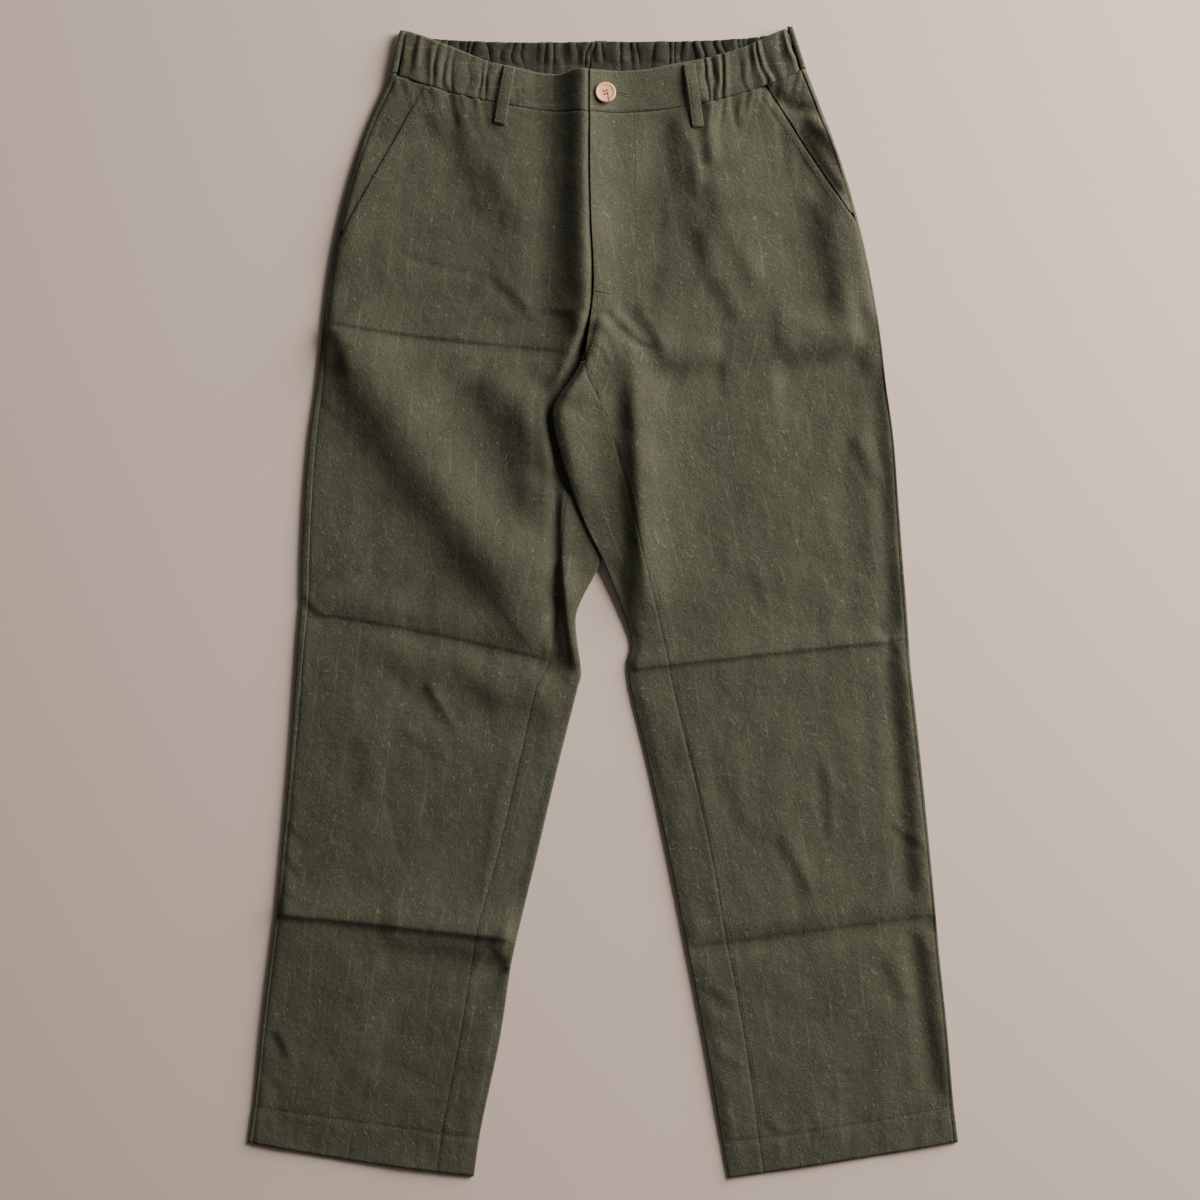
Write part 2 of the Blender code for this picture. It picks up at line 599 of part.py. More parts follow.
def button(finish):
    """A dished wooden disc with four holes."""
    profile = (
        (0.0, 0.0), (BUTTON_RADIUS - 1.0, 0.0), (BUTTON_RADIUS, 0.9), (BUTTON_RADIUS, BUTTON_THICKNESS - 0.7),
        (BUTTON_RADIUS - 0.8, BUTTON_THICKNESS), (BUTTON_RADIUS - BUTTON_RIM, BUTTON_THICKNESS - 0.1),
        (BUTTON_RADIUS - BUTTON_RIM - 1.2, BUTTON_THICKNESS - 0.7), (0.0, BUTTON_THICKNESS - 0.7),
    )
    builder = bmesh.new()
    steps = 24
    rings = []
    for radius, height in profile:
        if radius == 0:
            rings.append([builder.verts.new((0, 0, height * MM))])
            continue
        angles = [2 * math.pi * k / steps for k in range(steps)]
        rings.append([builder.verts.new((radius * MM * math.cos(a), radius * MM * math.sin(a), height * MM))
                      for a in angles])
    for inner, outer in zip(rings, rings[1:]):
        for k in range(steps):
            n = (k + 1) % steps
            if len(inner) == 1:
                builder.faces.new((inner[0], outer[n], outer[k]))
            elif len(outer) == 1:
                builder.faces.new((inner[k], inner[n], outer[0]))
            else:
                builder.faces.new((inner[k], inner[n], outer[n], outer[k]))
    bmesh.ops.recalc_face_normals(builder, faces=builder.faces)
    disc = new_object("button", builder, finish)
    disc.location = Vector((*BUTTON_CENTRE, BAND_TOP + SEAM_GAP)) * MM
    for k in range(4):
        angle = math.pi / 4 + k * math.pi / 2
        offset = Vector((math.cos(angle), math.sin(angle), 0)) * (BUTTON_HOLE_PITCH / math.sqrt(2))
        bpy.ops.mesh.primitive_cylinder_add(
            vertices=10, radius=BUTTON_HOLE_RADIUS * MM, depth=3 * BUTTON_THICKNESS * MM,
            location=disc.location + offset * MM,
        )
        cutter = bpy.context.object
        cutter.name = f"button_hole_cutter_{k}"
        cutter.hide_render = True
        cutter.display_type = "WIRE"
        cut = disc.modifiers.new(f"hole_{k}", "BOOLEAN")
        cut.operation = "DIFFERENCE"
        cut.object = cutter


# ---------------------------------------------------------------- the garment
def main():
    clear_scene()
    linen = material("linen", LINEN, 0.9)
    wood = material("wood", WOOD, 0.45)
    for leg, side in ((RIGHT, "right"), (LEFT, "left")):
        back_panel(leg, f"back_{side}", linen)
        front_panel(leg, f"front_{side}", linen)
        pocket_facing(leg, f"pocket_facing_{side}", linen)
    back_band("waistband_back", linen)
    front_band(FRONT_BAND_RIGHT, "waistband_front_right", linen)
    front_band(FRONT_BAND_LEFT, "waistband_front_left", linen)
    front_loops(linen)
    back_loop(linen)
    button(wood)


main()
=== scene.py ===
# %% [markdown]
# # Linen chinos laid flat
# A pair of trousers lies on its back on a plain surface, front up, and the camera looks straight down.
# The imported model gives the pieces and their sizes. This lesson dresses them: thin cloth with folds and
# gathers, rows of stitches, a wooden button, and a linen that is worked out from noise, with no picture.
#
# Lengths in the tables are in millimetres. X runs across the garment, Y up it to the waist, and Z up from
# the surface. Creases are placed by where they show in a 1200-pixel picture from straight above.

# %% Load the model
import math
from collections import namedtuple

import bpy
import numpy as np
from mathutils import Matrix, Vector


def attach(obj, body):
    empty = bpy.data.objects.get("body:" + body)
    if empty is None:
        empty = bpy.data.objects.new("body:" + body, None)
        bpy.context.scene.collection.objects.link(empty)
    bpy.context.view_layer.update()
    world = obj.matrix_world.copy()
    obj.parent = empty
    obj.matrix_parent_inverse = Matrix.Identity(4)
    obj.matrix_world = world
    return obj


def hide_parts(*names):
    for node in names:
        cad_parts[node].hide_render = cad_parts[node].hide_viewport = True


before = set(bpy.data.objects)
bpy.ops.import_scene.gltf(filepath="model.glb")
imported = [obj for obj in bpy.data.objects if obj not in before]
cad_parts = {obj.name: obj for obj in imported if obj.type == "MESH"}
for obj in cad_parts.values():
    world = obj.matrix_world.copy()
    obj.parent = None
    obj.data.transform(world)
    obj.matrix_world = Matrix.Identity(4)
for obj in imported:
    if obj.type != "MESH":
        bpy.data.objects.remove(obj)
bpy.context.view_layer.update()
bpy.ops.object.select_all(action="DESELECT")
print("nodes:", ", ".join(sorted(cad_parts)))

# %% [markdown]
# ## Units and the picture's scale
# One pixel of the picture covers 0.92 mm of the surface. A crease that is written in pixels becomes
# millimetres through `on_cloth`, so a reader can lay the table beside the picture.

# %% Scale
MM = 0.001
MM_PER_PIXEL = 0.92
PICTURE_SIZE = 1200
PICTURE_ORIGIN = (602.5, 602.8)


def on_cloth(pixel):
    x, y = pixel
    return np.array([(x - PICTURE_ORIGIN[0]) * MM_PER_PIXEL, (PICTURE_ORIGIN[1] - y) * MM_PER_PIXEL])


# %% [markdown]
# ## Camera
# The view is square to the floor and fairly long, which keeps the hems and the waist at one scale. The
# lens follows from the height and the width that the picture covers, both taken at the cloth's own level,
# a little above the floor.

# %% Camera
CAMERA_HEIGHT = 2.3
CAMERA_SHIFT = 0.0007
CLOTH_LEVEL = 0.005
SENSOR = 36.0
FARTHEST_SEEN = 50

camera_data = bpy.data.cameras.new("camera")
camera_data.sensor_width = SENSOR
camera_data.lens = SENSOR * (CAMERA_HEIGHT - CLOTH_LEVEL) / (PICTURE_SIZE * MM_PER_PIXEL * MM)
camera_data.clip_end = FARTHEST_SEEN
camera = bpy.data.objects.new("camera", camera_data)
bpy.context.collection.objects.link(camera)
middle = on_cloth((PICTURE_SIZE / 2, PICTURE_SIZE / 2)) * MM
camera.location = (middle[0] - CAMERA_SHIFT, middle[1], CAMERA_HEIGHT)
bpy.context.scene.camera = camera
print(f"lens {camera_data.lens:.1f} mm")

# %% [markdown]
# ## Light
# A broad soft window stands low at the upper right, so every fold has a bright side to the right and a
# dark one to the left. A weak pale surround fills the shadows.

# %% Light
KEY_POWER = 297.0
KEY_SIZE = 2.1
KEY_PLACE = Vector((2.15, 1.30, 1.08))
KEY_COLOUR = (1.0, 0.955, 0.9)
FILL_STRENGTH = 0.125
FILL_COLOUR = (1.0, 0.97, 0.93)

world = bpy.data.worlds.new("studio")
world.use_nodes = True
surround = world.node_tree.nodes["Background"].inputs
surround["Color"].default_value = (*FILL_COLOUR, 1)
surround["Strength"].default_value = FILL_STRENGTH
bpy.context.scene.world = world

key_data = bpy.data.lights.new("window", "AREA")
key_data.shape = "RECTANGLE"
key_data.size = key_data.size_y = KEY_SIZE
key_data.energy = KEY_POWER
key_data.color = KEY_COLOUR
key = bpy.data.objects.new("window", key_data)
bpy.context.collection.objects.link(key)
key.location = KEY_PLACE
key.rotation_mode = "QUATERNION"
key.rotation_quaternion = KEY_PLACE.to_track_quat("Z", "Y")

# %% [markdown]
# ## Shader maths
# A material here is an expression. `Wire` wraps one output socket and overloads the arithmetic, so
# `1 - mask * 0.4` adds its own Math nodes. `Recipe` holds a material's node tree and adds any other node.
# Its `grain` is a noise that is drawn out to a size of its own in each direction.


# %% Shader maths
CONTOUR_CORE = 0.4


class Wire:
    """One output of a node, which can be used in sums and products."""

    def __init__(self, recipe, socket):
        self.recipe, self.socket = recipe, socket

    def maths(self, operation, *values):
        return self.recipe.node("ShaderNodeMath", {"operation": operation}, dict(enumerate(values)), "Value")

    def __add__(self, other):
        return self.maths("ADD", self, other)

    def __sub__(self, other):
        return self.maths("SUBTRACT", self, other)

    def __rsub__(self, other):
        return self.maths("SUBTRACT", other, self)

    def __mul__(self, other):
        return self.maths("MULTIPLY", self, other)

    def sine(self):
        return self.maths("SINE", self)

    def near(self, value, reach):
        """1 where it is value, and 0 beyond reach of it: the contour lines of a noise."""
        return 1 - self.maths("ABSOLUTE", self - value).between(reach * CONTOUR_CORE, reach)

    def between(self, low, high):
        """0 below low, 1 above high, and smooth from one to the other."""
        sockets = {"Value": self, "From Min": low, "From Max": high}
        return self.recipe.node("ShaderNodeMapRange", {"interpolation_type": "SMOOTHSTEP"}, sockets, "Result")


class Recipe:
    """The node tree of one material."""

    def __init__(self, name):
        self.material = bpy.data.materials.new(name)
        self.material.use_nodes = True
        self.tree = self.material.node_tree
        self.surface = self.tree.nodes["Principled BSDF"]

    def feed(self, socket, value):
        if isinstance(value, Wire):
            self.tree.links.new(value.socket, socket)
        else:
            socket.default_value = value

    def node(self, kind, settings=None, sockets=None, output=0):
        made = self.tree.nodes.new(kind)
        for name, value in (settings or {}).items():
            setattr(made, name, value)
        for name, value in (sockets or {}).items():
            self.feed(made.inputs[name], value)
        return Wire(self, made.outputs[output])

    def set(self, **sockets):
        for name, value in sockets.items():
            self.feed(self.surface.inputs[name.replace("_", " ")], value)

    def solid(self):
        """The place in the object's own coordinates."""
        return self.node("ShaderNodeTexCoord", output="Object")

    def noise(self, place, scale, detail, roughness):
        sockets = {"Vector": place, "Scale": scale, "Detail": detail, "Roughness": roughness}
        return self.node("ShaderNodeTexNoise", {}, sockets)

    def grain(self, place, sizes, detail, roughness, shift=(0, 0), turn=0.0):
        """Noise with patches as large as sizes, turned about Z."""
        scale = (1 / sizes[0], 1 / sizes[1], 1)
        sockets = {"Vector": place, "Scale": scale, "Rotation": (0, 0, turn), "Location": (*shift, 0)}
        stretched = self.node("ShaderNodeMapping", {"vector_type": "POINT"}, sockets)
        return self.noise(stretched, 1.0, detail, roughness)

    def vector(self, operation, first, second=(0, 0, 0), output=0):
        return self.node("ShaderNodeVectorMath", {"operation": operation}, {0: first, 1: second}, output)

    def mix(self, share, first, second):
        """A colour between two colours or outputs."""
        ends = {6: first, 7: second}
        ends = {k: (*end, 1) if isinstance(end, tuple) else end for k, end in ends.items()}
        return self.node("ShaderNodeMix", {"data_type": "RGBA"}, {0: share, **ends}, 2)

    def bump(self, height, distance, strength, **under):
        sockets = {"Height": height, "Distance": distance, "Strength": strength, **under}
        return self.node("ShaderNodeBump", {}, sockets)


# %% [markdown]
# ## Linen
# Linen is spun from flax fibres of uneven thickness. Seen from a step away the cloth is a fine felt of
# light and dark hairs that run mostly along the leg, with a thicker pale thread (a slub) here and there.
# Every sheet carries a UV map named `cloth`, in metres along and across the piece, so the grain follows
# each leg. The same noises raise a fine bump, and a coarser one crumples the cloth a little. The table has
# each noise's size across and along the piece in metres, its detail, its roughness and its shift.

# %% Linen
LINEN_DARK = (0.0185, 0.0191, 0.0107)
LINEN_MID = (0.0660, 0.0670, 0.0405)
LINEN_PALE = (0.1080, 0.1095, 0.0710)
LINEN_WARM = (0.0610, 0.0500, 0.0310)
# How much darker the back band's copy of the linen is: painted shade.
PAINTED_SHADE_SHARE = 0.48
STRIPE_PITCH = 0.0185
STRIPE_WANDER = 7.0
LINEN_GRAINS = {
    "warp": ((0.0011, 0.0032), 3.0, 0.62),
    "weft": ((0.0030, 0.0011), 2.0, 0.6, (7, 3)),
    "clouds": ((0.028, 0.055), 3.0, 0.6),
    "curled": ((0.0075, 0.0105), 1.0, 0.4, (3, 2)),
    "bent": ((0.0062, 0.0125), 1.0, 0.4, (8, 5)),
    "patchy": ((0.0080, 0.0090), 2.0, 0.6, (6, 6)),
    "wander": ((0.030, 0.20), 2.0, 0.5),
    "broken": ((0.004, 0.035), 2.0, 0.6, (1, 6)),
}
LINEN_GLOSS = {"Roughness": 0.86, "Sheen_Weight": 0.12, "Sheen_Roughness": 0.5, "Specular_IOR_Level": 0.25}


def linen(name, share=1.0):
    """Linen, or for the back band a darker copy of the same cloth: painted shade."""
    cloth = Recipe(name)
    dark, mid, pale, warm = (tuple(c * share for c in colour)
                             for colour in (LINEN_DARK, LINEN_MID, LINEN_PALE, LINEN_WARM))
    place = cloth.node("ShaderNodeUVMap", {"uv_map": "cloth"})
    solid = cloth.solid()
    across = cloth.node("ShaderNodeSeparateXYZ", {}, {"Vector": place})
    grain = {part: cloth.grain(place, *row) for part, row in LINEN_GRAINS.items()}
    speckle = cloth.noise(solid, 1000.0, 2.0, 0.6)
    tint = cloth.noise(solid, 70.0, 2.0, 0.5)
    crumple = cloth.noise(solid, 62.0, 4.0, 0.62)

    curls = (grain["curled"].near(0.50, 0.020) * grain["patchy"].between(0.50, 0.60)
             + grain["bent"].near(0.47, 0.018) * (1 - grain["patchy"].between(0.40, 0.50)))
    phase = across * (2 * math.pi / STRIPE_PITCH) + grain["wander"] * STRIPE_WANDER
    stripe = phase.sine().between(0.93, 1.0) * grain["broken"].between(0.42, 0.62)
    fibre = grain["warp"] * 0.40 + grain["weft"] * 0.28 + speckle * 0.32

    shade = fibre.between(0.34, 0.66) * 0.70 + grain["clouds"].between(0.25, 0.75) * 0.30
    colour = cloth.mix(shade, dark, mid)
    colour = cloth.mix(tint.between(0.5, 0.8) * 0.35, colour, warm)
    colour = cloth.mix(curls * 0.42 + stripe * 0.26, colour, pale)
    coarse = cloth.bump(crumple, 0.0035, 0.40)
    fine = cloth.bump(fibre + curls * 0.5, 0.0005, 0.9, Normal=coarse)
    cloth.set(Base_Color=colour, Normal=fine, **LINEN_GLOSS)
    return cloth.material


LINEN = linen("linen_cloth")
# A darker copy of the same linen for the back band: painted shade.
LINEN_PAINTED_SHADE = linen("linen_painted_shade", PAINTED_SHADE_SHARE)

# %% [markdown]
# ## The floor
# Plain warm taupe paper.

# %% Floor
FLOOR_COLOUR = (0.535, 0.428, 0.366)
FLOOR_SIZE = 8.0
FLOOR_DROP = 0.0004

bpy.ops.mesh.primitive_plane_add(size=FLOOR_SIZE, location=(0, 0, -FLOOR_DROP))
floor = bpy.context.object
floor.name = "floor"
paper = Recipe("floor_paper")
paper.set(Base_Color=(*FLOOR_COLOUR, 1), Roughness=0.9)
floor.data.materials.append(paper.material)

# %% [markdown]
# ## The cut of the legs
# Each leg is worked out from cross-sections between the waist seam and the hem, as in the construction
# model. A section runs from the side fold to the inner fold, and has the heights of the upper layer at
# both and between them. Sections between two rows of the table come from a smooth curve through all rows.
# The left thigh's inner fold stands highest, where it lies on the right leg.

# %% Sections of the legs
Section = namedtuple("Section", "side_x side_y inner_x inner_y seam_x low_x side_seam bow "
                                "side_z top_z inner_z split")

RIGHT_ROWS = (
    (-195.5, 486.5, -2.3, 448.8, -12.4, -2.3, 5.5, 8.0, 4.6, 6.3, 6.2, 0),
    (-220.3, 429.5, -2.3, 402.8, -12.4, -2.3, 4.5, 5.0, 4.2, 6.3, 6.2, 0),
    (-237.7, 373.3, -2.3, 354.0, -11.5, -2.3, 3.5, 3.0, 4.2, 6.3, 6.2, 0),
    (-251.1, 310.8, -2.3, 295.1, -9.1, -2.3, 3.0, 2.0, 4.2, 6.3, 6.2, 0),
    (-258.9, 251.0, -9.7, 221.5, -20.7, -22.5, 4.0, 1.0, 4.2, 6.2, 5.8, 1),
    (-263.5, 201.3, -17.0, 173.7, -25.3, -46.5, 5.0, 0.0, 4.2, 6.2, 6.6, 1),
    (-270.5, 149.8, -15.2, 122.2, -29.0, -40.9, 6.0, 0.0, 4.2, 6.2, 7.0, 1),
    (-275.5, 90.0, -5.1, 68.8, -38.2, -40.0, 7.0, 0.0, 4.2, 6.3, 7.0, 1),
    (-277.8, 34.8, -2.3, 41.2, -40.0, -39.1, 7.2, 0.0, 4.2, 6.3, 7.0, 1),
    (-278.3, 8.1, -25.3, -15.8, -44.0, -41.0, 7.0, 0.0, 4.2, 6.3, 6.4, 1),
    (-279.2, -12.1, -20.2, -63.7, -51.1, -43.0, 6.5, 0.0, 4.2, 6.3, 6.4, 1),
    (-281.1, -34.2, -23.9, -80.2, -60.3, -23.9, 6.0, 0.0, 4.2, 6.3, 7.0, 1),
    (-288.4, -141.9, -41.3, -149.2, -77.7, -41.3, 4.5, 0.0, 4.2, 6.3, 7.0, 1),
    (-295.8, -227.4, -62.0, -236.6, -98.0, -62.0, 3.5, 0.0, 4.2, 6.3, 7.0, 1),
    (-301.3, -285.4, -80.0, -311.1, -117.3, -80.0, 3.0, 0.0, 4.2, 6.3, 7.0, 1),
    (-305.0, -314.8, -85.0, -335.1, -121.0, -85.0, 3.0, 0.0, 4.2, 6.3, 7.0, 1),
    (-313.3, -383.8, -94.2, -396.7, -131.1, -94.2, 3.0, 1.0, 4.2, 6.2, 7.0, 1),
    (-322.0, -462.9, -113.9, -491.5, -148.6, -113.9, 3.5, 2.5, 3.1, 4.6, 3.1, 1),
    (-327.1, -497.0, -119.1, -528.3, -153.5, -119.1, 4.0, 2.5, 2.7, 2.9, 2.7, 1),
)

LEFT_ROWS = (
    (186.8, 490.2, -2.3, 449.7, -12.0, -2.3, 5.0, 10.5, 7.0, 6.3, 6.3, 0),
    (209.3, 431.3, -2.3, 402.8, -12.0, -2.3, 4.5, 6.0, 7.0, 6.3, 6.3, 0),
    (229.5, 370.6, -2.3, 354.0, -11.0, -2.3, 3.5, 3.0, 7.0, 6.3, 6.3, 0),
    (243.4, 313.5, -2.3, 295.1, -8.6, -2.3, 2.5, 2.0, 7.0, 6.3, 6.3, 0),
    (255.4, 244.5, -20.7, 221.5, -16.5, -20.7, 2.5, 1.0, 7.0, 6.3, 12.4, 1),
    (260.4, 201.3, -46.5, 173.7, 0.5, -46.5, 2.5, 0.0, 7.0, 6.3, 15.2, 1),
    (267.3, 149.8, -37.2, 129.5, 14.3, -37.2, 2.5, 0.0, 7.0, 6.3, 15.4, 1),
    (271.9, 90.0, -15.4, 68.8, 29.9, -15.4, 3.0, 0.0, 7.0, 6.3, 9.6, 1),
    (275.6, 39.4, -2.3, 43.1, 37.3, -2.3, 3.5, 0.0, 7.0, 6.3, 8.8, 1),
    (279.0, -2.0, 26.2, -37.0, 55.5, 26.2, 3.5, 0.0, 7.0, 6.3, 3.6, 1),
    (281.1, -31.5, 22.4, -56.3, 59.8, 22.4, 3.5, 0.0, 7.0, 6.3, 3.4, 1),
    (282.5, -54.5, 24.4, -74.7, 63.0, 24.4, 3.5, 0.0, 7.0, 6.3, 3.4, 1),
    (290.8, -130.8, 40.9, -144.6, 79.6, 40.9, 3.5, 0.0, 7.0, 6.3, 3.2, 1),
    (300.5, -227.4, 63.0, -245.8, 101.7, 63.0, 3.0, 0.0, 7.0, 6.3, 4.0, 1),
    (306.4, -289.1, 77.7, -320.3, 114.1, 77.7, 3.0, 0.0, 7.0, 6.3, 4.0, 1),
    (308.7, -317.6, 82.3, -343.3, 119.1, 82.3, 3.0, 0.0, 7.0, 6.3, 4.0, 1),
    (316.1, -388.4, 97.1, -422.5, 132.9, 97.1, 3.0, 1.0, 7.0, 6.2, 4.0, 1),
    (322.9, -462.9, 109.5, -497.0, 143.1, 109.5, 3.5, 1.0, 3.1, 4.6, 3.1, 1),
    (327.1, -496.5, 115.7, -529.6, 147.7, 115.7, 4.0, 1.0, 2.7, 2.9, 2.7, 1),
)

CLOTH = 1.0
HEM_CLOTH = 1.4
BAND_CLOTH = 1.8
SEAM_GAP = 0.14
CENTRE_X = -2.3
HEM_SECTION = 17
CROTCH_SECTION = 4


def smooth_table(kind, rows):
    """A function that gives every column of the table at any row numbers, along a smooth curve."""
    values = np.array(rows, float)
    steps = np.diff(values, axis=0)
    before, after = steps[:-1], steps[1:]
    total = before + after
    level = before * after <= 0
    inner = np.where(level, 0.0, 2 * before * after / np.where(level, 1.0, total))
    tangents = np.vstack([steps[:1], inner, steps[-1:]])

    def at(t):
        t = np.asarray(t, float)
        i = np.clip(np.floor(t).astype(int), 0, len(values) - 2)
        u = (t - i)[..., None]
        found = ((2 * u**3 - 3 * u**2 + 1) * values[i] + (u**3 - 2 * u**2 + u) * tangents[i]
                 + (3 * u**2 - 2 * u**3) * values[i + 1] + (u**3 - u**2) * tangents[i + 1])
        return kind(*np.moveaxis(found, -1, 0))

    return at


def smooth_step(value, low, high):
    u = np.clip((value - low) / (high - low), 0.0, 1.0)
    return u * u * (3 - 2 * u)


def window(value, start, full, ease, end):
    """1 from full to ease, and 0 before start and after end."""
    return smooth_step(value, start, full) * (1 - smooth_step(value, ease, end))


def lerp(a, b, u):
    return a + (b - a) * u


def stacked(*coordinates):
    """Points from arrays of coordinates, which need not have the same shape."""
    return np.stack(np.broadcast_arrays(*coordinates), axis=-1)


# %% [markdown]
# ## Folds
# A fold is a curve through three points of the picture, with a height and a half-width in millimetres and
# the share of its length over which it fades out, a fifth where none is given. `soft` is a rounded ridge,
# or a trough where the height is negative, `sharp` is a pressed line, and `slope` climbs from one side to
# the other, towards the window. `bank` does so too and stays up for longer. `lip` and `ledge` are folds
# with one gentle side and one steep one: a lip's gentle side is towards the window, and a ledge's is away
# from it. They are as uneven as the real ones: none was copied to make another. The last two tables hold
# the folds that reach the outline or the waist seam, one table for each leg.

# %% Folds of the front
Fold = namedtuple("Fold", "kind start middle end height width fade", defaults=(0.20,))
LEFT_OF_PICTURE = (
    # hip
    ("ledge", (332, 326), (430, 340), (560, 353), -1.6, 10.0, 0.04),
    ("soft", (440, 341), (500, 348), (556, 350), -0.7, 6.0),
    ("bank", (331, 330), (337, 350), (345, 380), 2.4, 7.0, 0.15),
    ("ledge", (392, 252), (450, 268), (492, 277), -0.9, 6.0, 0.15),
    ("slope", (488, 274), (512, 297), (540, 330), 0.9, 5.0),
    ("bank", (446, 100), (464, 160), (480, 226), 2.4, 14.0, 0.18),
    ("bank", (476, 112), (490, 200), (504, 310), 2.6, 42.0, 0.10),
    ("slope", (478, 160), (498, 200), (514, 244), 1.2, 12.0, 0.25),
    ("soft", (446, 84), (450, 105), (457, 132), -1.9, 4.0, 0.15),
    ("soft", (462, 108), (472, 125), (482, 142), -0.8, 3.5),
    ("soft", (480, 118), (495, 135), (508, 152), -0.7, 3.2),
    ("soft", (505, 108), (520, 116), (537, 126), -0.6, 3.2),
    ("slope", (425, 110), (432, 125), (440, 142), 0.7, 6.0),
    ("soft", (360, 130), (344, 200), (334, 290), 3.0, 28.0),
    ("sharp", (458, 215), (470, 245), (486, 268), -0.5, 3.0),
    ("soft", (486, 298), (474, 318), (464, 338), -0.4, 4.0),
    ("soft", (520, 150), (532, 190), (536, 240), 0.9, 10.0, 0.25),
    # beside the fly
    ("soft", (589, 40), (588, 190), (590, 335), 7.5, 19.0, 0.05),
    ("ledge", (585, 40), (584, 185), (586, 320), 3.8, 23.0, 0.05),
    ("bank", (570, 40), (569, 175), (571, 300), 2.4, 12.0, 0.08),
    ("soft", (545, 40), (545, 190), (547, 340), -2.4, 14.0, 0.05),
    ("bank", (572, 312), (566, 346), (553, 404), 4.4, 11.0, 0.12),
    ("bank", (542, 314), (538, 350), (530, 396), 3.0, 18.0, 0.25),
    # thigh
    ("soft", (330, 318), (430, 464), (552, 634), 8.5, 34.0, 0.04),
    ("bank", (328, 352), (396, 467), (494, 602), 2.8, 22.0, 0.06),
    ("bank", (464, 370), (502, 442), (526, 540), 5.4, 24.0, 0.18),
    ("bank", (504, 398), (524, 440), (536, 482), 3.8, 16.0, 0.25),
    ("slope", (488, 590), (502, 614), (508, 642), 0.5, 11.0),
    ("slope", (318, 400), (326, 408), (338, 420), 0.5, 4.0),
    # knee
    ("ledge", (316, 617), (430, 636), (584, 671), -1.4, 13.0, 0.03),
    ("bank", (392, 670), (470, 692), (556, 718), 2.4, 18.0, 0.15),
    ("slope", (316, 608), (430, 627), (584, 662), 1.1, 11.0, 0.05),
    # shin
    ("slope", (372, 650), (394, 668), (412, 692), 0.6, 10.0),
    ("slope", (450, 664), (478, 690), (500, 720), 0.7, 12.0),
    ("soft", (424, 680), (440, 703), (459, 737), 1.1, 4.0),
    ("slope", (390, 722), (425, 748), (472, 776), 0.25, 5.0),
    ("bank", (422, 680), (432, 702), (442, 726), 1.3, 7.0, 0.25),
    ("slope", (350, 732), (363, 765), (362, 804), 0.9, 10.0),
    ("sharp", (386, 756), (391, 826), (414, 884), -0.7, 4.0, 0.15),
    ("soft", (513, 732), (496, 820), (481, 905), 0.9, 6.0, 0.10),
    ("lip", (273, 912), (404, 925), (520, 938), 4.2, 20.0, 0.01),
    ("bank", (376, 942), (450, 952), (512, 962), 2.8, 13.0, 0.12),
    ("bank", (424, 975), (432, 1060), (434, 1165), 1.4, 36.0, 0.10),
    ("slope", (272, 1030), (280, 1044), (286, 1060), 0.6, 4.0),
    ("slope", (384, 1040), (400, 1062), (436, 1082), 0.5, 12.0, 0.25),
    ("soft", (350, 960), (362, 1010), (366, 1070), 0.6, 10.0),
)
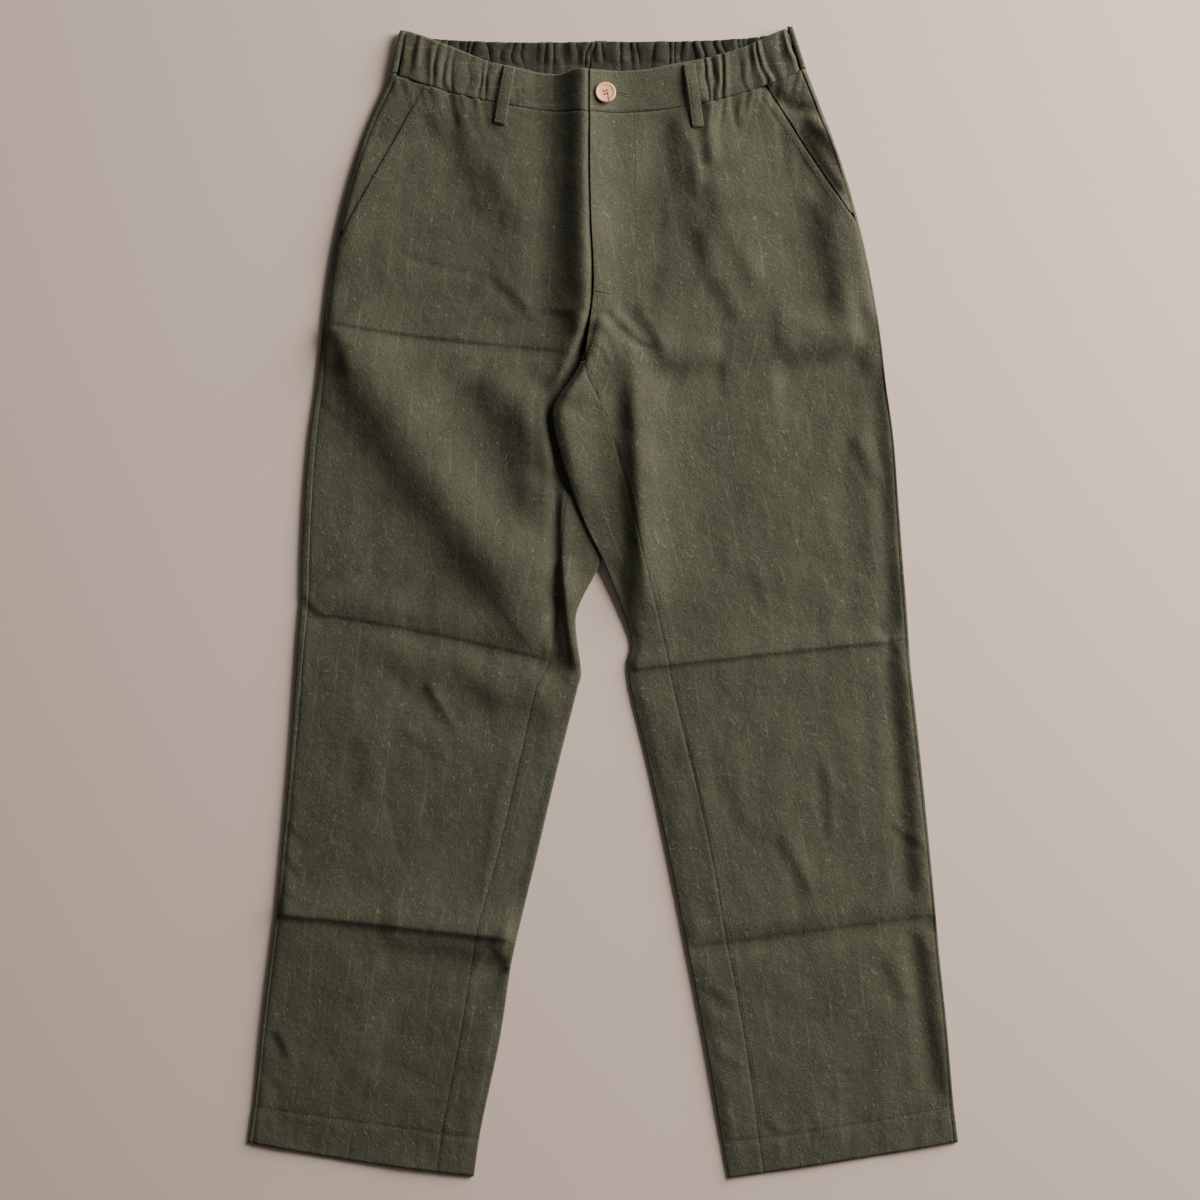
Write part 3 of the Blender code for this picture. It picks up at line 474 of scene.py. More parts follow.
RIGHT_OF_PICTURE = (
    # crotch
    ("slope", (604, 308), (623, 328), (649, 349), 1.5, 3.4, 0.15),
    ("slope", (630, 300), (645, 330), (664, 356), 0.9, 6.0),
    ("bank", (644, 318), (655, 345), (668, 380), 1.5, 9.0),
    ("slope", (602, 326), (610, 344), (615, 364), 0.6, 3.0),
    ("slope", (597, 344), (602, 353), (607, 366), 1.0, 2.4),
    ("slope", (592, 350), (596, 360), (600, 372), 0.5, 2.4),
    # hip and waist
    ("soft", (651, 125), (656, 220), (650, 305), -0.9, 9.0, 0.10),
    ("bank", (676, 104), (682, 180), (704, 270), 2.8, 15.0, 0.18),
    ("bank", (671, 112), (672, 152), (682, 204), 1.3, 9.0, 0.25),
    ("slope", (688, 132), (690, 168), (694, 206), 1.0, 6.0),
    ("soft", (697, 126), (698, 148), (694, 176), 1.0, 5.0),
    ("slope", (706, 98), (703, 130), (707, 170), 2.4, 6.0, 0.15),
    ("bank", (664, 170), (668, 230), (676, 300), 1.6, 22.0, 0.25),
    ("slope", (702, 178), (711, 208), (708, 236), 1.1, 8.0),
    ("slope", (698, 225), (701, 260), (706, 288), 0.9, 8.0),
    ("slope", (708, 278), (722, 300), (734, 326), 1.2, 8.0),
    ("slope", (736, 245), (742, 268), (752, 286), 0.6, 7.0),
    ("soft", (728, 130), (738, 210), (752, 300), 2.6, 26.0, 0.15),
    ("soft", (731, 92), (733, 110), (737, 134), -1.1, 3.6, 0.15),
    ("soft", (756, 100), (750, 118), (742, 137), -0.6, 3.6, 0.15),
    ("slope", (782, 126), (786, 150), (791, 178), 0.7, 4.0),
    ("sharp", (757, 92), (803, 160), (851, 230), -0.9, 2.2, 0.02),
    ("bank", (806, 190), (824, 250), (832, 326), 4.0, 16.0, 0.18),
    ("bank", (768, 360), (820, 355), (868, 347), 5.4, 16.0),
    ("bank", (850, 372), (858, 470), (864, 590), 1.8, 20.0, 0.15),
    ("slope", (640, 358), (684, 366), (728, 356), 2.0, 13.0),
    ("slope", (720, 362), (722, 380), (726, 402), 0.5, 6.0, 0.25),
    # thigh
    ("soft", (634, 325), (639, 470), (646, 650), 6.2, 19.0),
    ("soft", (617, 370), (620, 470), (627, 580), -2.8, 10.0),
    ("bank", (613, 430), (621, 520), (632, 620), 3.2, 12.0, 0.15),
    ("lip", (630, 385), (635, 470), (641, 590), 3.2, 26.0),
    ("sharp", (629, 345), (638, 470), (644, 610), 1.2, 6.0, 0.10),
    ("soft", (668, 400), (676, 490), (690, 620), 2.0, 20.0, 0.15),
    ("slope", (848, 436), (862, 460), (877, 490), 0.9, 6.0),
    ("slope", (868, 490), (872, 550), (874, 620), 0.6, 10.0),
    ("soft", (756, 408), (762, 430), (768, 456), 0.7, 5.0),
    ("soft", (788, 405), (795, 430), (800, 470), 0.6, 5.0),
    ("soft", (744, 545), (758, 580), (770, 615), 0.6, 7.0),
    ("soft", (818, 490), (832, 540), (844, 590), 0.6, 8.0),
    ("slope", (706, 505), (716, 545), (724, 580), 0.6, 10.0, 0.25),
    # knee
    ("lip", (630, 668), (760, 653), (888, 640), 2.3, 14.0, 0.02),
    # shin
    ("slope", (774, 832), (792, 864), (808, 900), 1.0, 7.0, 0.15),
    ("slope", (816, 755), (826, 800), (824, 840), 0.8, 6.0),
    ("slope", (724, 770), (734, 800), (742, 838), 0.7, 8.0, 0.25),
    ("soft", (840, 700), (852, 760), (850, 830), 0.7, 12.0),
    ("slope", (889, 820), (905, 837), (926, 846), 0.7, 4.0),
    ("soft", (690, 730), (706, 820), (722, 930), 0.8, 7.0, 0.12),
    ("ledge", (683, 950), (800, 935), (938, 917), -1.2, 14.0, 0.01),
    ("slope", (683, 943), (800, 928), (938, 910), 0.9, 10.0, 0.03),
    ("slope", (878, 956), (894, 982), (906, 1004), 0.8, 7.0),
    ("slope", (705, 985), (718, 998), (735, 1010), 0.6, 5.0),
    ("slope", (710, 1050), (726, 1062), (742, 1068), 0.5, 5.0),
    ("slope", (762, 1120), (775, 1130), (790, 1136), 0.4, 4.0),
)
RIGHT_EDGE_ROWS = (
    # the rolled fold down the inner thigh, and the knee's inner corner
    ("soft", (544, 372), (537, 436), (545, 492), -2.2, 9.0),
    ("soft", (555, 486), (554, 600), (560, 664), -2.0, 6.0, 0.12),
    ("lip", (563, 486), (561, 540), (565, 610), 2.8, 12.0, 0.12),
    ("lip", (562, 556), (566, 606), (576, 672), 4.2, 17.0, 0.15),
    ("bank", (553, 570), (554, 612), (561, 662), 3.4, 8.0),
    ("bank", (538, 648), (556, 657), (576, 669), 2.6, 8.0),
    ("bank", (488, 946), (500, 956), (511, 976), 3.2, 8.0),
    ("soft", (494, 944), (506, 952), (514, 966), -1.8, 8.0, 0.15),
    # down the outer seam
    ("slope", (302, 594), (311, 608), (324, 620), 0.8, 4.0, 0.15),
    ("slope", (286, 822), (294, 834), (306, 844), 0.3, 3.5),
    ("slope", (284, 852), (291, 866), (302, 876), 0.3, 3.5),
    ("slope", (282, 884), (290, 896), (302, 902), 0.3, 3.5),
    ("slope", (270, 1030), (279, 1044), (286, 1060), 0.3, 4.0),
    ("slope", (262, 1068), (272, 1080), (282, 1088), 0.3, 3.5),
    # hem
    ("sharp", (248, 1107), (372, 1125), (482, 1140), -0.9, 2.2, 0.01),
)
LEFT_EDGE_ROWS = (
    # pocket and hip
    ("soft", (762, 80), (785, 104), (828, 115), -3.4, 7.0, 0.12),
    ("bank", (806, 126), (818, 158), (846, 208), 4.0, 12.0),
    ("bank", (798, 100), (804, 116), (812, 134), 1.3, 9.0, 0.25),
    ("slope", (800, 116), (830, 150), (850, 182), 1.9, 6.0, 0.15),
    ("soft", (796, 130), (825, 174), (852, 210), -1.3, 4.0, 0.15),
    ("slope", (786, 136), (810, 174), (838, 222), 0.7, 5.0, 0.15),
    # down the outer seam
    ("slope", (879, 362), (889, 500), (896, 640), 2.3, 8.0, 0.10),
    ("slope", (892, 640), (905, 770), (915, 905), 2.3, 8.0, 0.10),
    ("slope", (916, 926), (929, 1010), (941, 1100), 2.2, 8.0, 0.10),
    ("soft", (877, 618), (886, 641), (894, 660), -1.5, 4.0, 0.15),
    # hem
    ("sharp", (720, 1143), (838, 1128), (956, 1105), -0.9, 2.2, 0.01),
)
FOLDS = [Fold(*row) for row in LEFT_OF_PICTURE + RIGHT_OF_PICTURE]
EDGE_FOLDS = {-1: [Fold(*row) for row in RIGHT_EDGE_ROWS], 1: [Fold(*row) for row in LEFT_EDGE_ROWS]}
print(len(FOLDS), "folds of the front,", [len(folds) for folds in EDGE_FOLDS.values()], "at the edges")

# %% [markdown]
# ## From folds to heights
# Each fold becomes a short chain of straight pieces. A point takes its distance from the nearest piece, and
# which side of it it lies on, and the kind's profile turns those into a height.

# %% Heights of the folds
LIGHT_SIDE = np.array([0.86, 0.51])
CRISP_SHARE = 0.22
FOLD_SAMPLES = 12
FOLD_CLEAR = 3.2
BANK_CLEAR = 6.5
BANK_STEEPNESS = 1.5
BANK_REACH = 3.0
PRESS_POINT = 0.03
PRESS_FALL = 1.4
FADE_START = -0.02
FAR_AWAY = 1e9
BAND_LOWEST = -2.4
LATTICE = 256


def fold_profile(fold, relative, side):
    """Share of the height at a distance in half-widths. The side towards the window is 1, the other -1."""
    if fold.kind == "soft":
        return np.exp(-relative**2)
    if fold.kind in ("lip", "ledge"):
        gentle = side > 0 if fold.kind == "lip" else side < 0
        return np.exp(-((relative / np.where(gentle, 1.0, CRISP_SHARE)) ** 2))
    if fold.kind == "bank":
        return side * np.tanh(BANK_STEEPNESS * relative) * np.exp(-((relative / BANK_REACH) ** 2))
    if fold.kind == "sharp":
        return np.exp(-np.sqrt(relative**2 + PRESS_POINT) * PRESS_FALL)
    return side * relative * np.exp(0.5 - relative**2 / 2)


def fold_relief(x, y, folds=FOLDS):
    """Height that the folds add at points in millimetres."""
    total = np.zeros_like(x)
    share = np.linspace(0, 1, FOLD_SAMPLES + 1)[:, None]
    for fold in folds:
        a, b, c = (on_cloth(p) for p in (fold.start, fold.middle, fold.end))
        path = (1 - share) * (1 - 2 * share) * a + 4 * share * (1 - share) * b + share * (2 * share - 1) * c
        reach = fold.width * (BANK_CLEAR if fold.kind == "bank" else FOLD_CLEAR)
        low, high = path.min(axis=0) - reach, path.max(axis=0) + reach
        near = (x > low[0]) & (x < high[0]) & (y > low[1]) & (y < high[1])
        if not near.any():
            continue
        px, py = x[near], y[near]
        nearest, side, place = np.full(px.shape, FAR_AWAY), np.zeros_like(px), np.zeros_like(px)
        for i, (p, q) in enumerate(zip(path, path[1:])):
            e = q - p
            u = np.clip(((px - p[0]) * e[0] + (py - p[1]) * e[1]) / (e @ e), 0, 1)
            dx, dy = px - p[0] - u * e[0], py - p[1] - u * e[1]
            distance = np.hypot(dx, dy)
            closer = distance < nearest
            nearest = np.where(closer, distance, nearest)
            facing = 1.0 if (e[0] * LIGHT_SIDE[1] - e[1] * LIGHT_SIDE[0]) > 0 else -1.0
            side = np.where(closer, facing * np.sign(e[0] * dy - e[1] * dx), side)
            place = np.where(closer, (i + u) / FOLD_SAMPLES, place)
        fade = smooth_step(place, FADE_START, fold.fade) * smooth_step(1 - place, FADE_START, fold.fade)
        total[near] += fold.height * fade * fold_profile(fold, nearest / fold.width, side)
    return total


def band_relief(x, y):
    """The part of the folds that the stiff waistband takes up."""
    return np.maximum(fold_relief(x, y), BAND_LOWEST)


def waviness(x, y, size, seed):
    """Smooth random undulation with bumps about as large as size."""
    lattice = np.random.default_rng(seed).uniform(-1, 1, (LATTICE, LATTICE))
    u, v = x / size + LATTICE / 2, y / size + LATTICE / 2
    i, j = np.floor(u).astype(int), np.floor(v).astype(int)
    fu, fv = u - i, v - j
    fu, fv = fu * fu * (3 - 2 * fu), fv * fv * (3 - 2 * fv)
    i, j = i % (LATTICE - 1), j % (LATTICE - 1)
    low = lerp(lattice[i, j], lattice[i + 1, j], fu)
    high = lerp(lattice[i, j + 1], lattice[i + 1, j + 1], fu)
    return lerp(low, high, fv)


# %% [markdown]
# ## Legs
# `Leg` answers three questions: where its sections lie, how high the upper layer stands at a point, and
# how high the lower layer is. The upper layer is thin at a flat fold, thickens towards the middle of the
# leg, and takes up the folds. The left thigh lies on the right one just below the crotch, so both of its
# layers are lifted there. Everything works on whole arrays of points at once.


# %% Legs
EDGE_ROUNDING = 5.0
EDGE_ROLL = 1.3
SLOW_RISE = 50.0
QUICK_SHARE = 0.6
INNER_FROM = (0.3, 0.9)
RIGHT_TUCK = 2.5
SEAM_HEIGHT = 7.0
SEAM_RAMP = 9.0
SEAM_HOLD = 0.85
SEAM_PUCKERS = 0.75
PUCKER_HEIGHTS = (1.3, 1.9)
PUCKER_PITCH = 9.4
PUCKER_LENGTH = 20.0
PUCKERS_FROM = (84.0, 112.0)
PUCKER_FAN = 0.0016
HEM_PUCKER = 0.34
HEM_PUCKERS_FROM = (430.0, 470.0)
HIP_LIFTS = (3.2, 3.4)
HIP_REACHES = (66.0, 38.0)
HIP_ROLLS = (9.0, 2.0)
HIP_ROLL_SHARE = 0.7
HIP_LIFT_FROM = (215.0, 390.0)
LAYER_BLEND = 0.5
LOWEST_UPPER_LAYER = 2.3
LAYER_GAP = 4.3
LOWER_FROM = (4.0, 20.0)
NO_FOLD = 99.0
LAP_CLEARANCE = 7.2
LAP_MORE = 3.2
LAP_REACH = 9.0
LAP_RAMP = 32.0
LAP_SPAN = (14.0, 44.0, 238.0, 300.0)
LAP_MORE_SPAN = (95.0, 140.0, 240.0, 290.0)
BACK_WAIST_RISE = 30.0
BACK_RISE_END = 4.0
OPENING_LEAD = 6.0


def gather_wave(turns):
    """Round ridges with narrow valleys between them, at a spacing that wanders."""
    place = turns + 0.24 * np.sin(1.7 * turns) + 0.13 * np.sin(4.1 * turns + 1)
    depth = 0.72 + 0.28 * np.sin(2.9 * turns) * np.sin(1.1 * turns + 2)
    return depth * (2 * np.abs(np.sin(np.pi * place)) ** 1.1 - 1)


def near(distance, reach):
    """1 on a line, falling smoothly to nothing over the reach."""
    return np.exp(-((distance / reach) ** 2))


def rise(distance):
    return 1 - near(np.maximum(distance, 0.0), EDGE_ROUNDING)


def slow_rise(distance, quick_share=QUICK_SHARE):
    """The cloth thickens slowly from a flat fold to the middle of the leg."""
    return quick_share * rise(distance) + (1 - quick_share) * (1 - near(distance, SLOW_RISE))


def hip_lift(side, distance, y):
    """The gathered elastic holds the two sides of the hips up off the floor."""
    place = side > 0
    rolled = 1 - HIP_ROLL_SHARE * near(distance, HIP_ROLLS[place])
    lifted = near(distance, HIP_REACHES[place]) * smooth_step(y, *HIP_LIFT_FROM)
    return HIP_LIFTS[place] * rolled * lifted


class Leg:
    """One leg. Its side is -1 for the wearer's right and 1 for the left."""

    def __init__(self, rows, pocket, side):
        self.rows = np.array(rows, float)
        self.at = smooth_table(Section, self.rows)
        self.pocket = np.array(pocket, float)
        self.side = side
        self.last = len(rows) - 1

    def place(self, row, x, back_t=None):
        """Y of a section at X. The back's sections, numbered back_t, rise higher at the waist."""
        s = (x - row.side_x) / (row.inner_x - row.side_x)
        inner_y, bow = row.inner_y, row.bow
        if back_t is not None:
            share = 1 - smooth_step(back_t, 0.0, BACK_RISE_END)
            inner_y = inner_y + BACK_WAIST_RISE * share
            bow = bow * (1 - share)
        return lerp(row.side_y, inner_y, s) - bow * 4 * s * (1 - s)

    def relief(self, x, y):
        """The folds, the gathers and a random unevenness of four sizes."""
        seed = 3 if self.side < 0 else 8
        lean = -0.10 * self.side
        random = 0.7 * waviness(x, y, 48, seed) + 0.36 * waviness(x, y, 21, seed + 1)
        random = random + 0.34 * waviness((x + lean * y) * 5.0, y, 75, seed + 2)
        random = random + 0.14 * waviness(x * 1.5, y, 9, seed + 3)
        return fold_relief(x, y) + random + self.puckers(x, y)

    def puckers(self, x, y):
        """Gathers that run on a little way below the waist seam."""
        from_seam = np.maximum(self.waist_y(x) - y, 0.0)
        strength = smooth_step(np.abs(x - CENTRE_X), *PUCKERS_FROM) * near(from_seam, PUCKER_LENGTH)
        wave = gather_wave(x * (1 + PUCKER_FAN * from_seam) / PUCKER_PITCH)
        return PUCKER_HEIGHTS[self.side > 0] * strength * wave * (0.8 + 0.5 * waviness(x, y, 17, 40))

    def hem_puckers(self, row, x, y):
        """The turned-up hem is drawn in a little along its stitching."""
        near_hem = smooth_step(-row.side_y, *HEM_PUCKERS_FROM)
        return HEM_PUCKER * near_hem * waviness(x, y * 0.30, 6.5, 60)

    def waist_y(self, x):
        return self.place(self.at(0.0), x)

    def upper(self, row, x, y):
        """Height of the upper layer's outer face."""
        s = np.clip((x - row.side_x) / (row.inner_x - row.side_x), 0.0, 1.0)
        from_side = np.abs(x - row.side_x)
        edge = lerp(row.side_z, row.inner_z, smooth_step(s, *INNER_FROM))
        tuck = RIGHT_TUCK if self.side < 0 else 0.0
        from_inner = 1 - row.split * (1 - rise((x - row.low_x) * self.side - tuck))
        quick_share = np.where(row.inner_z > row.top_z, 0.0, QUICK_SHARE)
        from_fold = slow_rise(np.abs(x - row.inner_x), quick_share)
        thick = slow_rise(from_side) * lerp(1.0, from_fold, row.split)
        height = lerp(edge, row.top_z, thick * from_inner) + self.relief(x, y) * rise(from_side) * from_inner
        height = height + self.hem_puckers(row, x, y)
        near_band = SEAM_HOLD * near(np.maximum(self.waist_y(x) - y, 0.0), SEAM_RAMP)
        at_seam = SEAM_HEIGHT + SEAM_PUCKERS * self.puckers(x, y) + band_relief(x, y)
        height = lerp(height, at_seam, near_band) + hip_lift(self.side, from_side, y)
        height = height + fold_relief(x, y, EDGE_FOLDS[self.side])
        lowest = self.lap(x, y) + LOWEST_UPPER_LAYER
        return LAYER_BLEND * np.logaddexp(height / LAYER_BLEND, lowest / LAYER_BLEND)

    def lap(self, x, y):
        """Height of the right leg's layers under the left thigh, and nothing elsewhere."""
        if self.side < 0:
            return np.zeros_like(x)
        right = RIGHT.rows[::-1]
        hidden_edge = np.interp(y, right[:, 3], right[:, 2])
        across = 1 - smooth_step(x, hidden_edge + LAP_REACH, hidden_edge + LAP_REACH + LAP_RAMP)
        return (LAP_CLEARANCE + LAP_MORE * window(y, *LAP_MORE_SPAN)) * across * window(y, *LAP_SPAN)

    def lower(self, row, x, y):
        """Height of the lower layer, which lies flat, or close under the upper one where that is raised."""
        raised = self.upper(row, x, y) - 2 * CLOTH - LAYER_GAP
        from_inner = np.where(row.split > 0.5, np.abs(x - row.inner_x), NO_FOLD)
        inside = np.minimum(np.abs(x - row.side_x), from_inner)
        raised = raised * smooth_step(inside, *LOWER_FROM)
        return np.maximum(np.maximum(raised, self.lap(x, y)), 0.0)

    def panel_edge(self, row):
        """X of the front panel's outer edge: the pocket opening, or below it the side seam."""
        seam = row.side_x - self.side * row.side_seam
        opening = self.opening(row.side_y - OPENING_LEAD)
        for _ in range(4):
            opening = self.opening(self.place(row, opening))
        return np.where(opening * self.side > seam * self.side, seam, opening)

    def opening(self, y):
        """X of the pocket opening's line at a height, carried on past its ends."""
        (y0, x0), (y1, x1), (y2, x2) = self.pocket
        upper_part = x0 + (x1 - x0) * (y - y0) / (y1 - y0)
        lower_part = x1 + (x2 - x1) * (y - y1) / (y2 - y1)
        return np.where(y > y1, upper_part, lower_part)


RIGHT = Leg(RIGHT_ROWS, ((476.5, -163.5), (413.8, -198.7), (338.4, -240.6)), -1)
LEFT = Leg(LEFT_ROWS, ((478.0, 149.0), (412.9, 190.9), (346.7, 234.1)), 1)

# %% [markdown]
# ## From points to cloth
# A sheet starts as a grid, is given its points, a UV map in metres of cloth, and a wall by the Solidify
# modifier, which grows inwards from the outer face. The map's U follows the weft and V the warp.

# %% Sheets
made_sheets = {}


def activate(item):
    bpy.ops.object.select_all(action="DESELECT")
    item.select_set(True)
    bpy.context.view_layer.objects.active = item


def cloth_sheet(name, points, grain, wall, thick_rows=None, thick=None, keep=None):
    """A wall of cloth under rows of points (mm, waist first, X rising along a row) on its outer face.

    The rows marked in thick_rows have the thickness thick, and only the points marked in keep are used.
    """
    rows, columns = points.shape[:2]
    bpy.ops.mesh.primitive_grid_add(x_subdivisions=columns - 1, y_subdivisions=rows - 1, size=1)
    item = bpy.context.object
    item.name = name
    mesh = item.data
    mesh.name = name
    mesh.vertices.foreach_set("co", (points[::-1] * MM).ravel())
    corner = np.empty(len(mesh.loops), int)
    mesh.loops.foreach_get("vertex_index", corner)
    mesh.uv_layers[0].name = "cloth"
    mesh.uv_layers[0].data.foreach_set("uv", (grain[::-1] * MM).reshape(-1, 2)[corner].ravel())
    if keep is not None:
        drop_points(item, ~keep[::-1].ravel())
    area = sum(face.area for face in mesh.polygons)
    greatest = thick or wall
    if thick_rows is not None:
        weights = item.vertex_groups.new(name="wall")
        heavy = np.repeat(thick_rows[::-1], columns)
        if keep is not None:
            heavy = heavy[keep[::-1].ravel()]
        weights.add([int(i) for i in np.nonzero(heavy)[0]], 1.0, "REPLACE")
        weights.add([int(i) for i in np.nonzero(~heavy)[0]], wall / greatest, "REPLACE")
    solid = item.modifiers.new("wall", "SOLIDIFY")
    solid.thickness = greatest * MM
    solid.offset = -1
    if thick_rows is not None:
        solid.vertex_group = "wall"
    activate(item)
    bpy.ops.object.modifier_apply(modifier="wall")
    mesh.shade_smooth()
    mesh.materials.append(LINEN)
    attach(item, "root")
    made_sheets[name] = area
    return item


def drop_points(item, unwanted):
    mesh = item.data
    activate(item)
    bpy.ops.object.mode_set(mode="EDIT")
    bpy.ops.mesh.select_mode(type="VERT")
    bpy.ops.mesh.select_all(action="DESELECT")
    bpy.ops.object.mode_set(mode="OBJECT")
    mesh.vertices.foreach_set("select", unwanted)
    bpy.ops.object.mode_set(mode="EDIT")
    bpy.ops.mesh.delete(type="VERT")
    bpy.ops.object.mode_set(mode="OBJECT")


# %% [markdown]
# ## Rows and columns
# Rows of points are close together at the pressed creases, and columns are close together along the
# seams, where the cloth dips. Elsewhere a coarser spacing is enough.

# %% Rows and columns
ROW_PITCH = 2.8
CREASE_ROW_PITCH = 1.3
CREASE_REACH = 14.0
CREASE_SECTIONS = (4, 10, 14, 17)
SECTION_SAMPLES = 4000
COLUMN_PITCH = 2.7
SEAM_COLUMNS = (0.0, 0.5, 1.1, 1.8, 2.8, 4.2)
GRAIN_APART = 600


def leg_rows(leg):
    """Section numbers from the waist seam to the hem, closer together at the creases."""
    dense = np.linspace(0, leg.last, SECTION_SAMPLES)
    row = leg.at(dense)
    step = np.maximum(np.abs(np.diff(row.side_y)), np.abs(np.diff(row.inner_y)))
    travelled = np.concatenate([[0], np.cumsum(step)])
    pitch = np.full(dense.shape, ROW_PITCH)
    for section in CREASE_SECTIONS:
        distance = np.abs(travelled - np.interp(section, dense, travelled))
        pitch = np.where(distance < CREASE_REACH, CREASE_ROW_PITCH, pitch)
    count = np.concatenate([[0], np.cumsum(step / pitch[1:])])
    return np.interp(np.linspace(0, count[-1], int(count[-1]) + 1), count, dense)


def shares(width, first_fine=True, last_fine=True):
    """Places from 0 to 1 across a width, close together at the seams."""
    start = list(SEAM_COLUMNS) if first_fine else [0.0]
    end = [width - d for d in reversed(SEAM_COLUMNS)] if last_fine else [width]
    count = max(1, int((end[0] - start[-1]) / COLUMN_PITCH))
    inner = [lerp(start[-1], end[0], k / count) for k in range(1, count)]
    return np.array(start + inner + end) / width


def x_rising(leg, *grids):
    """Grids that start at the side fold, turned so that X rises along each row."""
    return [grid[:, ::-1] if leg.side > 0 else grid for grid in grids]


def grain_of(leg, row, x, y):
    """Cloth coordinates: across the leg from its middle line, and along it."""
    centre = (row.side_x + row.inner_x) / 2
    return stacked(x - centre + GRAIN_APART * leg.side, y)


LEG_ROWS = {leg: leg_rows(leg) for leg in (RIGHT, LEFT)}
print("rows of points:", [len(rows) for rows in LEG_ROWS.values()])

# %% [markdown]
# ## Front panels
# The upper layer of each leg. Its outer edge is the pocket opening and then the side seam, and its inner
# edge the fly, the crotch seam and the inseam. The cloth dips where it is sewn, more so along the left
# pocket's opening. The right front's edge lies a little lower where the fly covers it.

# %% Front panels
SEAM_DIP = 0.35
SEAM_DIP_WIDTH = 1.5
OPENING_DIP = 2.2
OPENING_SECTIONS = (1.9, 2.4)
FLY_TUCK = 2.2
FLY_TUCK_WIDTH = 4.5
FLY_SECTIONS = (3.5, 4.1)
FRONT_WIDTH = 225.0


def seam_dip(distance):
    return SEAM_DIP * near(distance, SEAM_DIP_WIDTH)


def fly_tuck(x, edge_x):
    return FLY_TUCK * near(x - edge_x, FLY_TUCK_WIDTH)


def front_panel(leg, name):
    t = LEG_ROWS[leg][:, None]
    row = leg.at(t)
    start = leg.panel_edge(row) - leg.side * SEAM_GAP
    x = lerp(start, row.seam_x, shares(FRONT_WIDTH)[None, :])
    y = leg.place(row, x)
    z = leg.upper(row, x, y) - seam_dip(x - start) - seam_dip(x - row.seam_x)
    if leg.side > 0:
        z = z - OPENING_DIP * seam_dip(x - start) * (1 - smooth_step(t, *OPENING_SECTIONS))
    else:
        z = z - fly_tuck(x, row.seam_x) * (1 - smooth_step(t, *FLY_SECTIONS))
    z = np.maximum(z, leg.lap(x, y) + LOWEST_UPPER_LAYER)
    points = stacked(x, y, z)
    hem = t[:, 0] >= HEM_SECTION
    return cloth_sheet(name, *x_rising(leg, points, grain_of(leg, row, x, y)), CLOTH, hem, HEM_CLOTH)


front_right = front_panel(RIGHT, "front_right_cloth")
front_left = front_panel(LEFT, "front_left_cloth")
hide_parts("front_right")
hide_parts("front_left")

# %% [markdown]
# ## Back panels
# The lower layer. It turns up round the side fold to the side seam, and below the crotch it also turns up
# round the inner fold, where a strip of it shows beside the inseam.

# %% Back panels
TURN_STEPS = 7
WRAP_COLUMNS = 4
UNDER_COLUMNS = 16
STRIP_WIDTH = 34.0


def turn(edge_x, low, high, outward):
    """Half a round of points from one height to another, bulging out to edge_x."""
    angle = np.pi * np.arange(1, TURN_STEPS + 1)[None, :] / TURN_STEPS
    radius = (high - low) / 2
    roll = np.minimum(radius, EDGE_ROLL)
    return edge_x - outward * roll * (1 - np.sin(angle)), low + radius - radius * np.cos(angle)


def back_panel(leg, name):
    t = LEG_ROWS[leg][:, None]
    row = leg.at(t)
    side = leg.side
    split = t >= CROTCH_SECTION

    def upper(x):
        return leg.upper(row, x, leg.place(row, x, t))

    seam = row.side_x - side * row.side_seam
    side_top, inner_top = upper(row.side_x), upper(row.inner_x)
    low = leg.lap(row.inner_x, leg.place(row, row.inner_x, t))
    side_start = row.side_x - side * np.minimum(side_top / 2, EDGE_ROLL)
    inner_radius = np.where(split, np.minimum((inner_top - low) / 2, EDGE_ROLL), SEAM_GAP / 2)
    inner_start = row.inner_x + side * inner_radius

    wrap_x = lerp(seam, side_start, np.linspace(0, 1, WRAP_COLUMNS)[None, :-1])
    wrap_z = np.maximum(upper(wrap_x) - seam_dip(wrap_x - seam), LOWEST_UPPER_LAYER)
    turn_x, turn_z = turn(row.side_x, 0 * row.side_z, side_top, side)
    under_x = lerp(side_start, inner_start, np.linspace(0, 1, UNDER_COLUMNS)[None, :])
    under_z = leg.lower(row, under_x, leg.place(row, under_x, t))
    inner_x, inner_z = turn(row.inner_x, low, inner_top, -side)
    strip_edge = row.seam_x - side * SEAM_GAP
    strip_x = lerp(inner_start, strip_edge, shares(STRIP_WIDTH, first_fine=False)[None, 1:])
    strip_z = np.maximum(upper(strip_x) - seam_dip(strip_x - strip_edge), low + LOWEST_UPPER_LAYER)

    x = np.hstack([wrap_x, turn_x[:, ::-1], under_x, inner_x, strip_x])
    z = np.hstack([wrap_z, turn_z[:, ::-1], under_z, inner_z, strip_z])
    y = leg.place(row, x, t)
    points = stacked(x, y, z)
    unrolled = np.concatenate([[[0]], np.cumsum(np.abs(np.diff(x[-1:], axis=1)), axis=1)], axis=1)
    grain = stacked(unrolled + GRAIN_APART / 2 * side, y)
    keep = np.ones(x.shape, bool)
    keep[:, -(inner_x.shape[1] + strip_x.shape[1]):] = split
    if side < 0:
        points, grain, keep = points[:, ::-1], grain[:, ::-1], keep[:, ::-1]
    hem = t[:, 0] >= HEM_SECTION
    return cloth_sheet(name, points, grain, CLOTH, hem, HEM_CLOTH, keep)


back_right = back_panel(RIGHT, "back_right_cloth")
back_left = back_panel(LEFT, "back_left_cloth")
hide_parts("back_right")
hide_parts("back_left")

# %% [markdown]
# ## Side pieces of the pockets
# Behind each slanted opening lies the side piece, which meets the front's edge there. It sinks away from
# the side seam on the right leg, and swells a little on the left.

